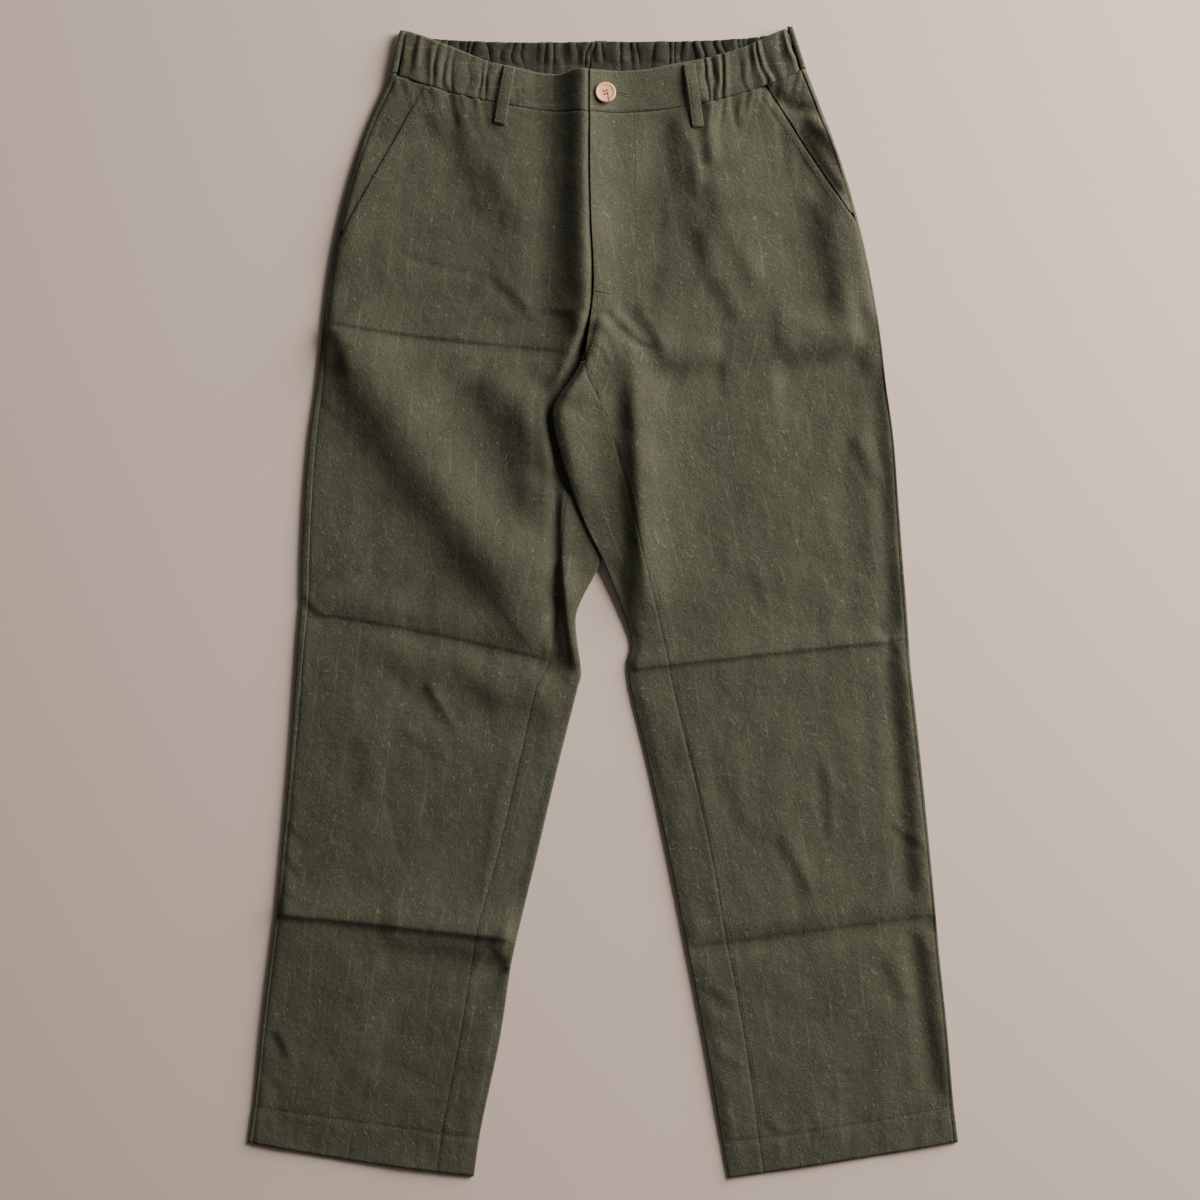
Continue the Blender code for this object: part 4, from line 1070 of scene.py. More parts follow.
# %% Side pieces
FACING_DROPS = (1.5, -0.5)
FACING_DROP_AT_WAIST = 0.35
FACING_SECTIONS = (0.0, 0.8)
FACING_SLOPE = 8.0
FACING_WIDTH = 30.0
FACING_END = 2.2


def pocket_facing(leg, name):
    t = LEG_ROWS[leg][:, None]
    row = leg.at(t)
    seam = row.side_x - leg.side * (row.side_seam + SEAM_GAP)
    opening = leg.panel_edge(row) + leg.side * SEAM_GAP
    wide = ((seam - opening) * leg.side)[:, 0] > FACING_END
    last = int(np.argmin(wide))
    t, row = t[:last], leg.at(t[:last])
    seam, opening = seam[:last], opening[:last]
    x = lerp(seam, opening, shares(FACING_WIDTH)[None, :])
    y = leg.place(row, x)
    from_seam = np.abs(x - seam)
    from_waist = lerp(FACING_DROP_AT_WAIST, 1.0, smooth_step(t, *FACING_SECTIONS))
    drop = FACING_DROPS[leg.side > 0] * from_waist * smooth_step(from_seam, 0, FACING_SLOPE)
    z = leg.upper(row, x, y) - seam_dip(from_seam) - drop
    points = stacked(x, y, np.maximum(z, LOWEST_UPPER_LAYER))
    return cloth_sheet(name, *x_rising(leg, points, grain_of(leg, row, x, y)), CLOTH)


facing_right = pocket_facing(RIGHT, "pocket_facing_right_cloth")
facing_left = pocket_facing(LEFT, "pocket_facing_left_cloth")
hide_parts("pocket_facing_right")
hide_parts("pocket_facing_left")

# %% [markdown]
# ## Waistband
# The front band is flat in the middle and gathered towards the sides. The back band holds elastic and is
# gathered all along. A gather is a ripple whose spacing, depth and lean wander from one to the next. The
# back band wraps round to the front at both ends, where its outer face shows in the plain linen. The rest of
# the back band has a darker copy of the same linen, which is painted shade.

# %% Waistband
Rib = namedtuple("Rib", "top_x top_y bottom_x gather")
FRONT_BAND_RIGHT = (
    (-181.0, 525.7, -188.4, 1.0), (-162.4, 519.6, -168.0, 1.0), (-137.5, 510.2, -142.0, 1.0),
    (-100.7, 496.2, -104.0, 0.8), (-79.6, 492.2, -80.0, 0.2), (-55.7, 487.4, -56.0, 0.0),
    (-40.0, 486.3, -40.0, 0.0), (-23.5, 489.5, -24.0, 0.0), (-12.6, 488.8, -12.6, 0.0),
)
FRONT_BAND_LEFT = (
    (-12.2, 488.8, -12.2, 0.0), (14.3, 488.6, 14.3, 0.0), (37.3, 490.2, 37.3, 0.0),
    (58.4, 494.3, 59.0, 0.0), (79.0, 498.0, 82.0, 0.3), (91.5, 500.3, 95.5, 1.0),
    (129.3, 510.7, 136.0, 1.0), (152.3, 521.2, 162.0, 1.0), (168.4, 527.7, 180.6, 1.0),
)
BACK_BAND = (
    (-187.4, 526.0, -195.5, 0.2), (-170.0, 520.5, -175.0, 1.0), (-157.8, 519.1, -160.0, 1.0),
    (-137.5, 517.8, -139.0, 1.0), (-86.0, 515.9, -86.0, 1.0), (-2.3, 516.2, -2.3, 1.0),
    (85.1, 517.1, 86.0, 1.0), (129.3, 519.4, 132.0, 1.0), (151.3, 521.7, 156.0, 1.0),
    (174.4, 529.6, 186.8, 0.2),
)
FLY_X = -12.3
BAND_TOP = 7.4
BAND_HEIGHT = 38.0
BAND_ROUNDING = 0.45
BAND_EDGE = 1.2
BAND_WRAPS = (6.15, 5.75)
BAND_END = 7.5
BAND_END_HEIGHT = 39.4
FRONT_GATHER_HEIGHTS = (1.5, 2.3)
FRONT_GATHER_PITCH = 10.5
BACK_GATHER_HEIGHT = 3.9
BACK_GATHER_PITCH = 9.6
BACK_TILT = 2.0
BACK_TOP_DROP = 0.2
BACK_WAIST_GAP = 0.8
BAND_COLUMN_PITCH = 0.9
BAND_ROWS = 22
LOOP_WIDTH = 10.8
LOOP_CLOTH = 1.2
LOOP_ROOM = (4.0, 0.3)


def waist_seam(x, back):
    """Y of the seam under the band."""
    start = np.zeros_like(x)
    right, left = (leg.place(leg.at(start), x, start if back else None) for leg in (RIGHT, LEFT))
    return np.where(x < FLY_X, right, left) + (BACK_WAIST_GAP if back else SEAM_GAP)


def band_points(ribs, pitch, back):
    """Columns of points down a band, the number of the gather at each, its strength, and the way along."""
    table = np.array(ribs, float)
    spans = np.hypot(*np.diff(table[:, :2], axis=0).T)
    travelled = np.concatenate([[0], np.cumsum(spans)])
    distance = np.linspace(0, travelled[-1], int(travelled[-1] / BAND_COLUMN_PITCH) + 1)
    rib = smooth_table(Rib, ribs)(np.interp(distance, travelled, np.arange(len(ribs))))
    down = np.linspace(0, 1, BAND_ROWS)[:, None]
    x = lerp(rib.top_x, rib.bottom_x, down)
    y = lerp(rib.top_y, waist_seam(rib.bottom_x, back), down)
    turns = distance / travelled[-1] * round(travelled[-1] / pitch)
    return x, y, turns, rib.gather, down, distance


def front_band(ribs, name):
    x, y, turns, strength, down, distance = band_points(ribs, FRONT_GATHER_PITCH, False)
    place = ribs is FRONT_BAND_LEFT
    side, outer = (1, x[:, -1:]) if place else (-1, x[:, :1])
    lean = 0.25 * np.sin(turns * 2.3) * (down - 0.5) + 0.26 * waviness(x, y, 13, 23)
    wave = gather_wave(turns + lean) * strength * FRONT_GATHER_HEIGHTS[place]
    uneven = 0.75 + 0.5 * waviness(x, y, 14, 21)
    sewn = 0.55 + 0.45 * np.sin(np.pi * down)
    z = BAND_TOP + wave * uneven * sewn + 0.25 * waviness(x, y, 17, 5) * np.sin(np.pi * down)
    z = z - BAND_ROUNDING * near(np.minimum(down, 1 - down) * BAND_HEIGHT, BAND_EDGE)
    z = z + band_relief(x, y) + hip_lift(side, np.abs(x - outer), y)
    if side < 0:
        z = z - fly_tuck(x, x[:, -1:])
    grain = stacked(y, distance + 1.5 * GRAIN_APART)
    return cloth_sheet(name, stacked(x, y, z), grain, BAND_CLOTH)


def plain_linen_at_ends(band):
    """The ends that wrap round to the front keep the plain linen, without the band's painted shade."""
    top, bottom, height = (np.array([BACK_BAND[end][column] for end in (0, -1)]) for column in (0, 2, 1))
    for face in band.data.polygons:
        x, y, z = face.center / MM
        ends = lerp(bottom, top, np.clip(1 + (y - height) / BAND_END_HEIGHT, 0, 1))
        inside = min(x - ends[0], ends[1] - x)
        if inside < EDGE_ROLL or (inside < BAND_END and z > BAND_TOP / 2):
            face.material_index = 1


def back_band(name):
    x, y, turns, strength, down, distance = band_points(BACK_BAND, BACK_GATHER_PITCH, True)
    y = y - BACK_TOP_DROP * (1 - down) * strength
    middle = np.minimum(x[0] - x[0, 0], x[0, -1] - x[0]) >= EDGE_ROLL
    lean = 0.35 * np.sin(turns * 1.9) * (down - 0.3) + 0.42 * waviness(x, y, 12, 33)
    uneven = (0.72 + 0.5 * waviness(x, y, 13, 31)) * (1 - 0.65 * smooth_step(down, 0.42, 0.6))
    lift = BACK_GATHER_HEIGHT / 2 * (1 + gather_wave(turns + lean)) * strength * uneven
    lift = lift + BACK_TILT * (1 - smooth_step(down, 0.0, 0.5)) * strength
    near_loop = np.abs(x[0] - CENTRE_X) < LOOP_WIDTH / 2 + LOOP_ROOM[0]
    lift = np.where(near_loop[None, :], np.maximum(lift, LOOP_CLOTH + LOOP_ROOM[1]), lift)
    columns = [stacked(x[:, middle], y[:, middle], lift[:, middle])]
    for side, edge in ((-1, 0), (1, -1)):
        top = BAND_TOP + hip_lift(side, 0.0, y[0, edge])
        turn_x, turn_z = turn(np.zeros((1, 1)), np.zeros((1, 1)), np.full((1, 1), top), side)
        shift = np.append(turn_x[0], -side * (BAND_WRAPS[side > 0] - SEAM_GAP))
        height = np.append(turn_z[0], top)
        ends = stacked(x[:, edge, None] + shift, y[:, edge, None], height)
        columns = [ends[:, ::-1]] + columns if side < 0 else columns + [ends]
    points = np.concatenate(columns, axis=1)[:, ::-1]
    along = np.arange(points.shape[1]) * BAND_COLUMN_PITCH
    grain = stacked(points[..., 1], along[None, :] + 3 * GRAIN_APART)
    band = cloth_sheet(name, points, grain, BAND_CLOTH)
    # The back band takes the darkened copy of the linen: painted shade.
    band.data.materials[0] = LINEN_PAINTED_SHADE
    band.data.materials.append(LINEN)
    plain_linen_at_ends(band)
    return band


band_right = front_band(FRONT_BAND_RIGHT, "waistband_front_right_cloth")
band_left = front_band(FRONT_BAND_LEFT, "waistband_front_left_cloth")
band_back = back_band("waistband_back_cloth")
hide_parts("waistband_front_right")
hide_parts("waistband_front_left")
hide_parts("waistband_back")

# %% [markdown]
# ## Finding the cloth's surface
# Stitches, loops and the button lie on cloth that is already made, so their heights are found by looking
# straight down on it. The same look gives the slope, which tilts each stitch.

# %% The surface under a point
LOOK_FROM = 0.05
PATH_SAMPLES = 60


def surface(x, y, pieces):
    """Highest point of the pieces under (x, y) mm, in metres, and its normal."""
    best = None
    for piece in pieces:
        hit, place, normal, _ = piece.ray_cast((x * MM, y * MM, LOOK_FROM), (0, 0, -1))
        if hit and (best is None or place.z > best[0].z):
            best = (place.copy(), normal.copy())
    return best


def smooth_path(pixels):
    """Points a millimetre apart along a smooth curve through places in the picture."""
    knots = np.array([on_cloth(p) for p in pixels])
    table = smooth_table(lambda *columns: np.stack(columns, axis=-1), knots)
    dense = table(np.linspace(0, len(knots) - 1, PATH_SAMPLES * len(knots)))
    travelled = np.concatenate([[0], np.cumsum(np.hypot(*np.diff(dense, axis=0).T))])
    even = np.arange(0, travelled[-1], 1.0)
    return np.stack([np.interp(even, travelled, dense[:, k]) for k in (0, 1)], axis=-1)


# %% [markdown]
# ## Thread
# The sewing thread has about the cloth's colour and is a little glossier, so a row of stitches shows as
# small raised dashes.

# %% Thread
THREAD_COLOUR = (0.062, 0.060, 0.036)
THREAD_SHADE = 0.7
THREAD_GRAIN = 900.0


def thread_material(name, colour):
    thread = Recipe(name)
    uneven = thread.noise(thread.solid(), THREAD_GRAIN, 2.0, 0.5).between(0.35, 0.65)
    dark = tuple(c * THREAD_SHADE for c in colour)
    thread.set(Base_Color=thread.mix(uneven, dark, colour), Roughness=0.6)
    return thread.material


THREAD = thread_material("sewing_thread", THREAD_COLOUR)

# %% [markdown]
# ## Rows of stitches
# One stitch is modelled, a small rounded bar with pinched ends. Each row is a mesh of its own, made of
# copies that follow the line at an even pitch, with a small random turn and length. A sphere's faces can
# come in another order each time, so they are sorted.

# %% One stitch
STITCH_PITCH = 3.3
STITCH_LENGTH = 2.5
STITCH_WIDTH = 0.75
STITCH_HEIGHT = 0.5
STITCH_SINK = 0.12
STITCH_TURN = 0.05
TACK_PITCH = 0.75
TACK_WIDTH = 0.9

bpy.ops.object.select_all(action="DESELECT")
bpy.ops.mesh.primitive_uv_sphere_add(segments=6, ring_count=5, radius=0.5)
pattern = bpy.context.object
STITCH_POINTS = np.array([v.co[:] for v in pattern.data.vertices])[:, [2, 0, 1]]
STITCH_FACES = sorted(list(face.vertices) for face in pattern.data.polygons)
bpy.data.objects.remove(pattern)
print(len(STITCH_FACES), "faces a stitch")


def stitches(name, places, pieces, material=THREAD):
    """A mesh of stitches. Each place is (x, y, direction, length, width) in mm and radians."""
    points, faces = [], []
    for x, y, direction, length, width in places:
        found = surface(x, y, pieces)
        if found is None:
            continue
        spot, normal = found
        along = Vector((math.cos(direction), math.sin(direction), 0))
        along = (along - normal * along.dot(normal)).normalized()
        across = normal.cross(along)
        turn_matrix = np.array([along, across, normal]).T
        sized = STITCH_POINTS * (length, width, STITCH_HEIGHT)
        sized[:, 2] += STITCH_HEIGHT / 2 - STITCH_SINK
        base = sum(len(block) for block in points)
        points.append(np.array(spot) / MM + sized @ turn_matrix.T)
        faces += [[base + i for i in face] for face in STITCH_FACES]
    mesh = bpy.data.meshes.new(name)
    mesh.from_pydata((np.concatenate(points) * MM).tolist(), [], faces)
    mesh.shade_smooth()
    mesh.materials.append(material)
    row = bpy.data.objects.new(name, mesh)
    bpy.context.collection.objects.link(row)
    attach(row, "root")
    print(name, len(points), "stitches")
    return row


def row_places(path, seed):
    """Stitches along a path of points a millimetre apart."""
    chance = np.random.default_rng(seed)
    last = len(path) - 1
    places = []
    for k in range(int((last - 1) / STITCH_PITCH)):
        at = 1 + k * STITCH_PITCH
        i = int(at)
        x, y = lerp(path[i], path[min(i + 1, last)], at - i)
        ahead = path[min(i + 3, last)] - path[max(i - 2, 0)]
        direction = math.atan2(ahead[1], ahead[0]) + chance.normal(0, STITCH_TURN)
        length = STITCH_LENGTH * chance.uniform(0.85, 1.08)
        places.append((x, y, direction, length, STITCH_WIDTH * chance.uniform(0.85, 1.1)))
    return places


def tack_places(start, end, length):
    """A bar tack: close stitches laid across a short line."""
    a, b = on_cloth(start), on_cloth(end)
    direction = math.atan2(b[1] - a[1], b[0] - a[0]) + math.pi / 2
    count = max(2, int(np.hypot(*(b - a)) / TACK_PITCH))
    return [(*lerp(a, b, u), direction, length, TACK_WIDTH) for u in np.linspace(0, 1, count)]


# %% [markdown]
# ## Where it is sewn
# The rows follow the seams in the picture: the waist seam and the band's upper edge, the curved fly stitch
# with its bar tack, the pocket edges, the double row at the crotch, the left inseam and the hems.

# %% Sewn lines
FRONTS = [front_right, front_left]
LEGS = FRONTS + [back_right, back_left]
BANDS = [band_right, band_left]
FACINGS = [facing_right, facing_left]
BAND_STITCHES = (
    ("waist_stitch_right", ((392, 71.5), (423, 83.5), (473, 97.8), (526, 108.8), (572, 114.6), (587, 113.0))),
    ("waist_stitch_left", ((592, 111.3), (660, 108.6), (702, 101.6), (752, 86.6), (787, 73.2), (803, 67.8))),
    ("band_edge_stitch_right", ((410, 34.5), (443, 47.7), (493, 64.2), (539, 75.6), (559, 76.6), (587, 74.6))),
    ("band_edge_stitch_left", ((592, 74.7), (643, 72.7), (695, 63.7), (752, 45.7), (787, 30.0))),
)
LEG_STITCHES = (
    ("hem_stitch_right", ((252.5, 1109), (318, 1118), (372, 1126), (404, 1131), (437, 1134), (479, 1140))),
    ("hem_stitch_left", ((723, 1143), (755, 1141), (790, 1134), (849, 1127), (898, 1115), (953, 1106))),
    ("fly_stitch", ((634.5, 116), (635.5, 180), (636, 240), (632, 270), (622, 284), (609, 293))),
    ("pocket_stitch_right", ((430, 92), (423, 104), (394, 156), (368, 203), (349, 238))),
    ("pocket_stitch_left", ((758, 92), (765, 100), (777, 117), (804, 157), (823, 187), (842, 217),
                            (853, 231))),
    ("crotch_stitch_outer", ((597, 296), (597.5, 314), (594, 339), (586, 359))),
    ("crotch_stitch_inner", ((604, 296), (602.5, 313), (601, 335), (596, 347), (590, 360))),
    ("inseam_stitch_left", ((586, 366), (596, 381), (600, 402), (612, 424), (629, 480), (654, 576),
                            (672, 646), (687, 730), (706, 813), (719, 860), (732, 942), (744, 1012),
                            (754, 1070), (762, 1131))),
)
FLY_TACK = ((596, 291.5), (609, 293.5), 2.2)
POCKET_TACKS = (
    ((373, 176), (380, 180), 2.0), ((425, 88), (431, 93), 2.0),
    ((758, 88), (765, 94), 2.0), ((814, 166), (821, 161), 2.0),
)
for table, pieces in ((BAND_STITCHES, BANDS), (LEG_STITCHES, LEGS)):
    for name, pixels in table:
        stitches(name, row_places(smooth_path(pixels), seed=len(name)), pieces)
stitches("fly_bar_tack", tack_places(*FLY_TACK), LEGS)
stitches("pocket_bar_tacks", sum((tack_places(*tack) for tack in POCKET_TACKS), []), LEGS + FACINGS)

# %% [markdown]
# ## Belt loops
# A loop is a strip folded in three and stitched down both edges. Its upper end is caught in the band's top
# edge and its lower end is tacked below the waist seam, and it stands off the cloth in between. The stub at
# the centre of the back only shows as a raised end behind the band.

# %% Belt loops
Loop = namedtuple("Loop", "name node top bottom tilt")
LOOPS = (
    Loop("belt_loop_right_cloth", "belt_loop_front_right", (509.0, 66.5), (498.6, 125.5), 0.10),
    Loop("belt_loop_left_cloth", "belt_loop_front_left", (688.2, 64.5), (697.3, 128.0), -0.05),
)
LOOP_COLUMNS = 13
LOOP_ROWS = 46
LOOP_LOOKS = (-4.0, 0.0, 4.0)
LOOP_SMOOTHING = 9
LOOP_STAND_OFF = 2.4
LOOP_CLEAR = 0.25
LOOP_END = 3.0
LOOP_END_DROP = 0.5
LOOP_CROWN = 0.35
LOOP_TILT_REACH = 4.0
LOOP_FOLD_PLACE, LOOP_FOLD_WIDTH, LOOP_FOLD_DEPTH = 0.72, 0.10, 0.28
LOOP_STITCH_PLACE = 0.36
LOOP_TACKS = (0.03, 0.955)
LOOP_TACK_REACH = 4.4
LOOP_TACK_SIZE = (1.9, 0.8)
BACK_LOOP_TOP, BACK_LOOP_BOTTOM = 518.0, 482.0
BACK_LOOP_ROWS = 20


def loop_floor(top, bottom, across):
    """Smoothed height of the cloth under a loop, from its top to its bottom."""
    heights = []
    for u in np.linspace(0, 1, LOOP_ROWS):
        looks = [surface(*(lerp(top, bottom, u) + across * aside), BANDS + LEGS) for aside in LOOP_LOOKS]
        found = [look[0].z / MM for look in looks if look]
        heights.append(max(found) if found else BAND_TOP)
    padded = np.pad(heights, LOOP_SMOOTHING // 2, mode="edge")
    return np.convolve(padded, np.ones(LOOP_SMOOTHING) / LOOP_SMOOTHING, mode="valid")


def belt_loop(loop):
    top, bottom = on_cloth(loop.top), on_cloth(loop.bottom)
    length = float(np.hypot(*(bottom - top)))
    ahead = (bottom - top) / length
    across = np.array([-ahead[1], ahead[0]])
    base = loop_floor(top, bottom, across)
    points = np.zeros((LOOP_ROWS, LOOP_COLUMNS, 3))
    for i, u in enumerate(np.linspace(0, 1, LOOP_ROWS)):
        stand = LOOP_STAND_OFF * math.sin(math.pi * u) ** 0.8
        stand -= LOOP_END_DROP * (near(u * length, LOOP_END) + near((1 - u) * length, LOOP_END))
        for j, v in enumerate(np.linspace(-1, 1, LOOP_COLUMNS)):
            folded = LOOP_FOLD_DEPTH * near(abs(v) - LOOP_FOLD_PLACE, LOOP_FOLD_WIDTH)
            height = base[i] + LOOP_CLOTH + LOOP_CLEAR + stand + LOOP_CROWN * (1 - v * v) - folded
            spot = lerp(top, bottom, u) + across * v * LOOP_WIDTH / 2
            points[i, j] = (*spot, height + loop.tilt * v * LOOP_TILT_REACH)
    if points[0, 0, 0] > points[0, -1, 0]:
        points = points[:, ::-1]
    grain = stacked(points[..., 0] + 2 * GRAIN_APART, points[..., 1])
    strip = cloth_sheet(loop.name, points, grain, LOOP_CLOTH)
    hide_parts(loop.node)
    path = np.stack([np.linspace(top[k], bottom[k], int(length)) for k in (0, 1)], axis=-1)
    edges = [row_places(path + across * side * LOOP_WIDTH * LOOP_STITCH_PLACE, 7 + side) for side in (-1, 1)]
    stitches(loop.name.replace("cloth", "stitch"), edges[0] + edges[1], [strip])
    direction = math.atan2(ahead[1], ahead[0])
    ends = [(*(lerp(top, bottom, u) + across * v), direction, *LOOP_TACK_SIZE)
            for u in LOOP_TACKS for v in np.arange(-LOOP_TACK_REACH, LOOP_TACK_REACH + 0.1, TACK_PITCH)]
    stitches(loop.name.replace("cloth", "tacks"), ends, [strip])
    return strip


front_loops = [belt_loop(loop) for loop in LOOPS]

back_x = CENTRE_X + np.linspace(1, -1, LOOP_COLUMNS)[None, :] * LOOP_WIDTH / 2
back_y = np.linspace(BACK_LOOP_TOP, BACK_LOOP_BOTTOM, BACK_LOOP_ROWS)[:, None]
back_points = stacked(back_x, back_y, 0 * back_x)
back_grain = back_points[..., :2] + 2.5 * GRAIN_APART
back_loop = cloth_sheet("belt_loop_back_cloth", back_points, back_grain, LOOP_CLOTH)
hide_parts("belt_loop_back")

# %% [markdown]
# ## The button's wood
# Growth rings run round a place a little beside the button's middle, and fine grain lines cross them. One
# dark streak runs down from the middle, and the rim is painted darker on the side away from the window,
# which is painted shade.

# %% The wood
BUTTON_CENTRE = on_cloth((604.6, 94.9))
BUTTON_RADIUS = 9.6
WOOD_PALE = (0.74, 0.45, 0.25)
WOOD_BROWN = (0.28, 0.10, 0.04)
WOOD_STREAK = (0.20, 0.07, 0.04)
WOOD_RIM_SHADE = (0.36, 0.13, 0.035)
RING_CENTRE = np.array([3.0, 1.0])
RING_SHAPE = (1, 1.25, 0)
RING_TURNS = 2900.0
RING_WOBBLE = 6.0
STREAK_ACROSS, STREAK_ALONG = (0.97, 0.23, 0), (0.23, -0.97, 0)
STREAK_LEFT, STREAK_RIGHT, STREAK_START = (0.2, 0.9), (1.6, 2.8), (-0.3, 1.0)
RIM_SHADE_CENTRE = np.array([0.8, 0.7])
RIM_SHADE_BAND = (BUTTON_RADIUS - 0.5, BUTTON_RADIUS + 0.3)


def wood(name):
    timber = Recipe(name)
    solid = timber.solid()

    def away(offset):
        """The way from a place that is offset from the button's middle."""
        x, y = (BUTTON_CENTRE + offset) * MM
        return timber.vector("ADD", solid, (-x, -y, 0))

    def band(value, limits):
        return value.between(*(limit * MM for limit in limits))

    distance = timber.vector("LENGTH", timber.vector("MULTIPLY", away(RING_CENTRE), RING_SHAPE), output="Value")
    wobble = timber.noise(solid, 220.0, 3.0, 0.6)
    rings = (distance * RING_TURNS + wobble * RING_WOBBLE).sine()
    lines = timber.grain(solid, (0.0030, 0.0004), 3.0, 0.6, turn=0.5)
    shade = rings.between(-0.6, 1.0) * 0.45 + lines.between(0.4, 0.65) * 0.55
    colour = timber.mix(shade * 0.78, WOOD_PALE, WOOD_BROWN)

    across, along = (timber.vector("DOT_PRODUCT", away(0), direction, "Value")
                     for direction in (STREAK_ACROSS, STREAK_ALONG))
    streak = band(across, STREAK_LEFT) * (1 - band(across, STREAK_RIGHT)) * band(along, STREAK_START)
    colour = timber.mix(streak * 0.9, colour, WOOD_STREAK)

    # The rim's side away from the window is darkened: painted shade.
    level = timber.vector("MULTIPLY", away(RIM_SHADE_CENTRE), (1, 1, 0))
    edge = band(timber.vector("LENGTH", level, output="Value"), RIM_SHADE_BAND)
    colour = timber.mix(edge * 0.9, colour, WOOD_RIM_SHADE)
    timber.set(Base_Color=colour, Normal=timber.bump(lines, 0.0001, 0.4))
    timber.set(Roughness=0.42, Specular_IOR_Level=0.3)
    return timber.material


# %% [markdown]
# ## The button
# A turned wooden button: a raised rim, a dished middle and four drilled holes. Its outline is drawn as a
# chain of points, which the Screw modifier turns into a disc, and the holes are cut with cylinders. It
# leans a little to the lower right and rests on the highest cloth under it.

# %% The disc
BUTTON_STEPS = 72
BUTTON_TILT = math.radians(7)
BUTTON_CLEAR = 0.1
REST_RADIUS = 7.5
REST_LOOKS = 12
HOLE_RADIUS = 0.95
HOLE_PITCH = 2.9
HOLE_TURN = 0.3
HOLE_SIDES = 20
DRILL_LENGTH = 0.01
MERGE_DISTANCE = 1e-6
SHARP_ANGLE = math.radians(35)
PROFILE = (
    (0.0, 0.0), (8.3, 0.0), (9.1, 0.25), (9.5, 0.8), (9.6, 1.5), (9.45, 2.1), (9.0, 2.55), (8.4, 2.7),
    (7.8, 2.62), (7.3, 2.4), (6.8, 2.15), (6.2, 2.0), (4.0, 1.95), (0.0, 1.95),
)
angles = np.linspace(0, 2 * math.pi, REST_LOOKS, endpoint=False)
under = [(0, 0)] + [(REST_RADIUS * math.cos(angle), REST_RADIUS * math.sin(angle)) for angle in angles]
leaning = math.tan(BUTTON_TILT) / math.sqrt(2) * MM
resting = max(surface(*(BUTTON_CENTRE + spot), BANDS)[0].z + sum(spot) * leaning for spot in under)
lowest = resting + BUTTON_CLEAR * MM

mesh = bpy.data.meshes.new("button_wooden")
mesh.from_pydata([(r * MM, 0, z * MM) for r, z in PROFILE], [(i, i + 1) for i in range(len(PROFILE) - 1)], [])
button = bpy.data.objects.new("button_wooden", mesh)
bpy.context.collection.objects.link(button)
screw = button.modifiers.new("turned", "SCREW")
screw.steps = screw.render_steps = BUTTON_STEPS
screw.use_merge_vertices = True
screw.merge_threshold = MERGE_DISTANCE
activate(button)
bpy.ops.object.modifier_apply(modifier="turned")
bpy.ops.object.mode_set(mode="EDIT")
bpy.ops.mesh.select_all(action="SELECT")
bpy.ops.mesh.remove_doubles(threshold=MERGE_DISTANCE)
bpy.ops.mesh.normals_make_consistent(inside=False)
bpy.ops.object.mode_set(mode="OBJECT")
for k in range(4):
    angle = math.pi / 4 + k * math.pi / 2 + HOLE_TURN
    place = np.array([math.cos(angle), math.sin(angle), 0]) * HOLE_PITCH / math.sqrt(2) * MM
    bpy.ops.mesh.primitive_cylinder_add(vertices=HOLE_SIDES, radius=HOLE_RADIUS * MM, depth=DRILL_LENGTH,
                                        location=place)
    drill = bpy.context.object
    cut = button.modifiers.new("hole", "BOOLEAN")
    cut.operation, cut.solver, cut.object = "DIFFERENCE", "EXACT", drill
    activate(button)
    bpy.ops.object.modifier_apply(modifier="hole")
    bpy.data.objects.remove(drill)
button.data.transform(Matrix.Translation((*(BUTTON_CENTRE * MM), lowest))
                      @ Matrix.Rotation(BUTTON_TILT, 4, Vector((-1, 1, 0)).normalized()))
activate(button)
bpy.ops.object.shade_smooth_by_angle(angle=SHARP_ANGLE)
button.data.materials.append(wood("button_wood_grain"))
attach(button, "root")
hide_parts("button")
print(f"button {lowest / MM:.2f} mm up, {len(button.data.polygons)} faces")
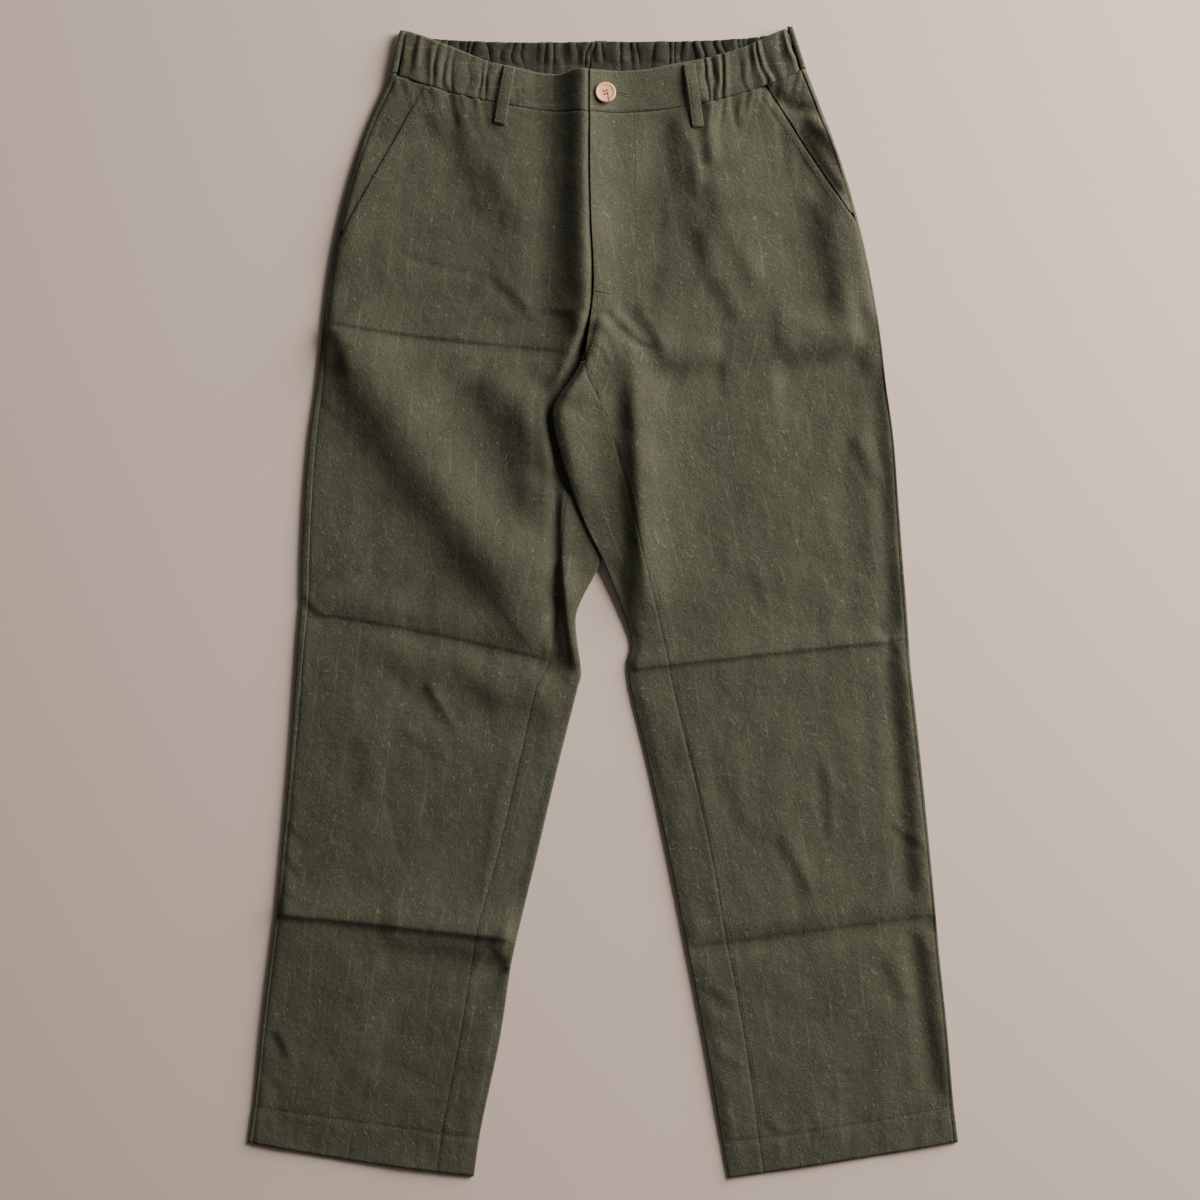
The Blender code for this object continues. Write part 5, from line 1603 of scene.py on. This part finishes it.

# %% [markdown]
# ## Button thread and buttonhole
# Two loops of thread lie over the right-hand pair of holes. The buttonhole is a slit to the right of the
# button, edged on both sides with close stitches and finished with a bar at its end. Down the slit lies a
# row of near-black bars, which is painted shade.

# %% Thread and hole
BUTTON_THREAD = thread_material("button_thread", (0.34, 0.17, 0.07))
SLIT_SHADE = thread_material("slit_shade", (0.008, 0.007, 0.005))
HOLE_START, HOLE_END = on_cloth((611, 92.6)), on_cloth((625.5, 95.2))
HOLE_EDGE = 1.15
EDGE_STITCHES, EDGE_STITCH_SIZE = 19, (1.7, 0.75)
END_STITCHES, END_STITCH_SIZE = (-1.2, -0.4, 0.4, 1.2), (1.5, 0.7)
SLIT_SHADE_MARKS, SLIT_SHADE_MARK_SIZE = 9, (2.0, 0.5)
along_hole = (HOLE_END - HOLE_START) / np.hypot(*(HOLE_END - HOLE_START))
off_hole = np.array([-along_hole[1], along_hole[0]])
hole_direction = math.atan2(*along_hole[::-1])

crossing = [(*(BUTTON_CENTRE + (HOLE_PITCH / 2 + aside, aside * HOLE_TURN)), math.pi / 2 + HOLE_TURN,
             HOLE_PITCH * 1.25, 0.55) for aside in (-0.3, 0.3)]
stitches("button_thread_cross", crossing, [button], BUTTON_THREAD)
edging = [(*(lerp(HOLE_START, HOLE_END, u) + off_hole * side * HOLE_EDGE),
           hole_direction + math.pi / 2, *EDGE_STITCH_SIZE)
          for u in np.linspace(0, 1, EDGE_STITCHES) for side in (-1, 1)]
edging += [(*(HOLE_END + along_hole * 0.6 + off_hole * v), hole_direction, *END_STITCH_SIZE)
           for v in END_STITCHES]
stitches("buttonhole_stitch", edging, BANDS)
# The slit's shadow is painted: near-black bars laid along it.
slit = [(*lerp(HOLE_START, HOLE_END, u), hole_direction, *SLIT_SHADE_MARK_SIZE)
        for u in np.linspace(0.05, 0.95, SLIT_SHADE_MARKS)]
stitches("buttonhole_slit_painted_shade", slit, BANDS, SLIT_SHADE)

# %% [markdown]
# Each piece of cloth lies on the floor or on another piece, named in the table's last column. The table also
# has its width and length when it is cut and flat, in metres. The cell prints each piece's area and faces.

for piece, width, length, rests_on in (
    (front_right, 0.262, 0.99, "back_right_cloth"),
    (front_left, 0.262, 0.99, "back_left_cloth"),
    (back_right, 0.35, 1.01, "floor"),
    (back_left, 0.36, 1.01, "floor"),
    (facing_right, 0.05, 0.14, "back_right_cloth"),
    (facing_left, 0.05, 0.13, "back_left_cloth"),
    (band_right, 0.20, 0.04, "waistband_back_cloth"),
    (band_left, 0.21, 0.04, "waistband_back_cloth"),
    (band_back, 0.42, 0.045, "floor"),
    (front_loops[0], 0.0108, 0.056, "waistband_front_right_cloth"),
    (front_loops[1], 0.0108, 0.060, "waistband_front_left_cloth"),
    (back_loop, 0.0108, 0.037, "floor"),
):
    area = made_sheets[piece.name]
    print(f"{piece.name}: {area:.4f} m2, {len(piece.data.polygons)} faces")
    min(area, width * length)
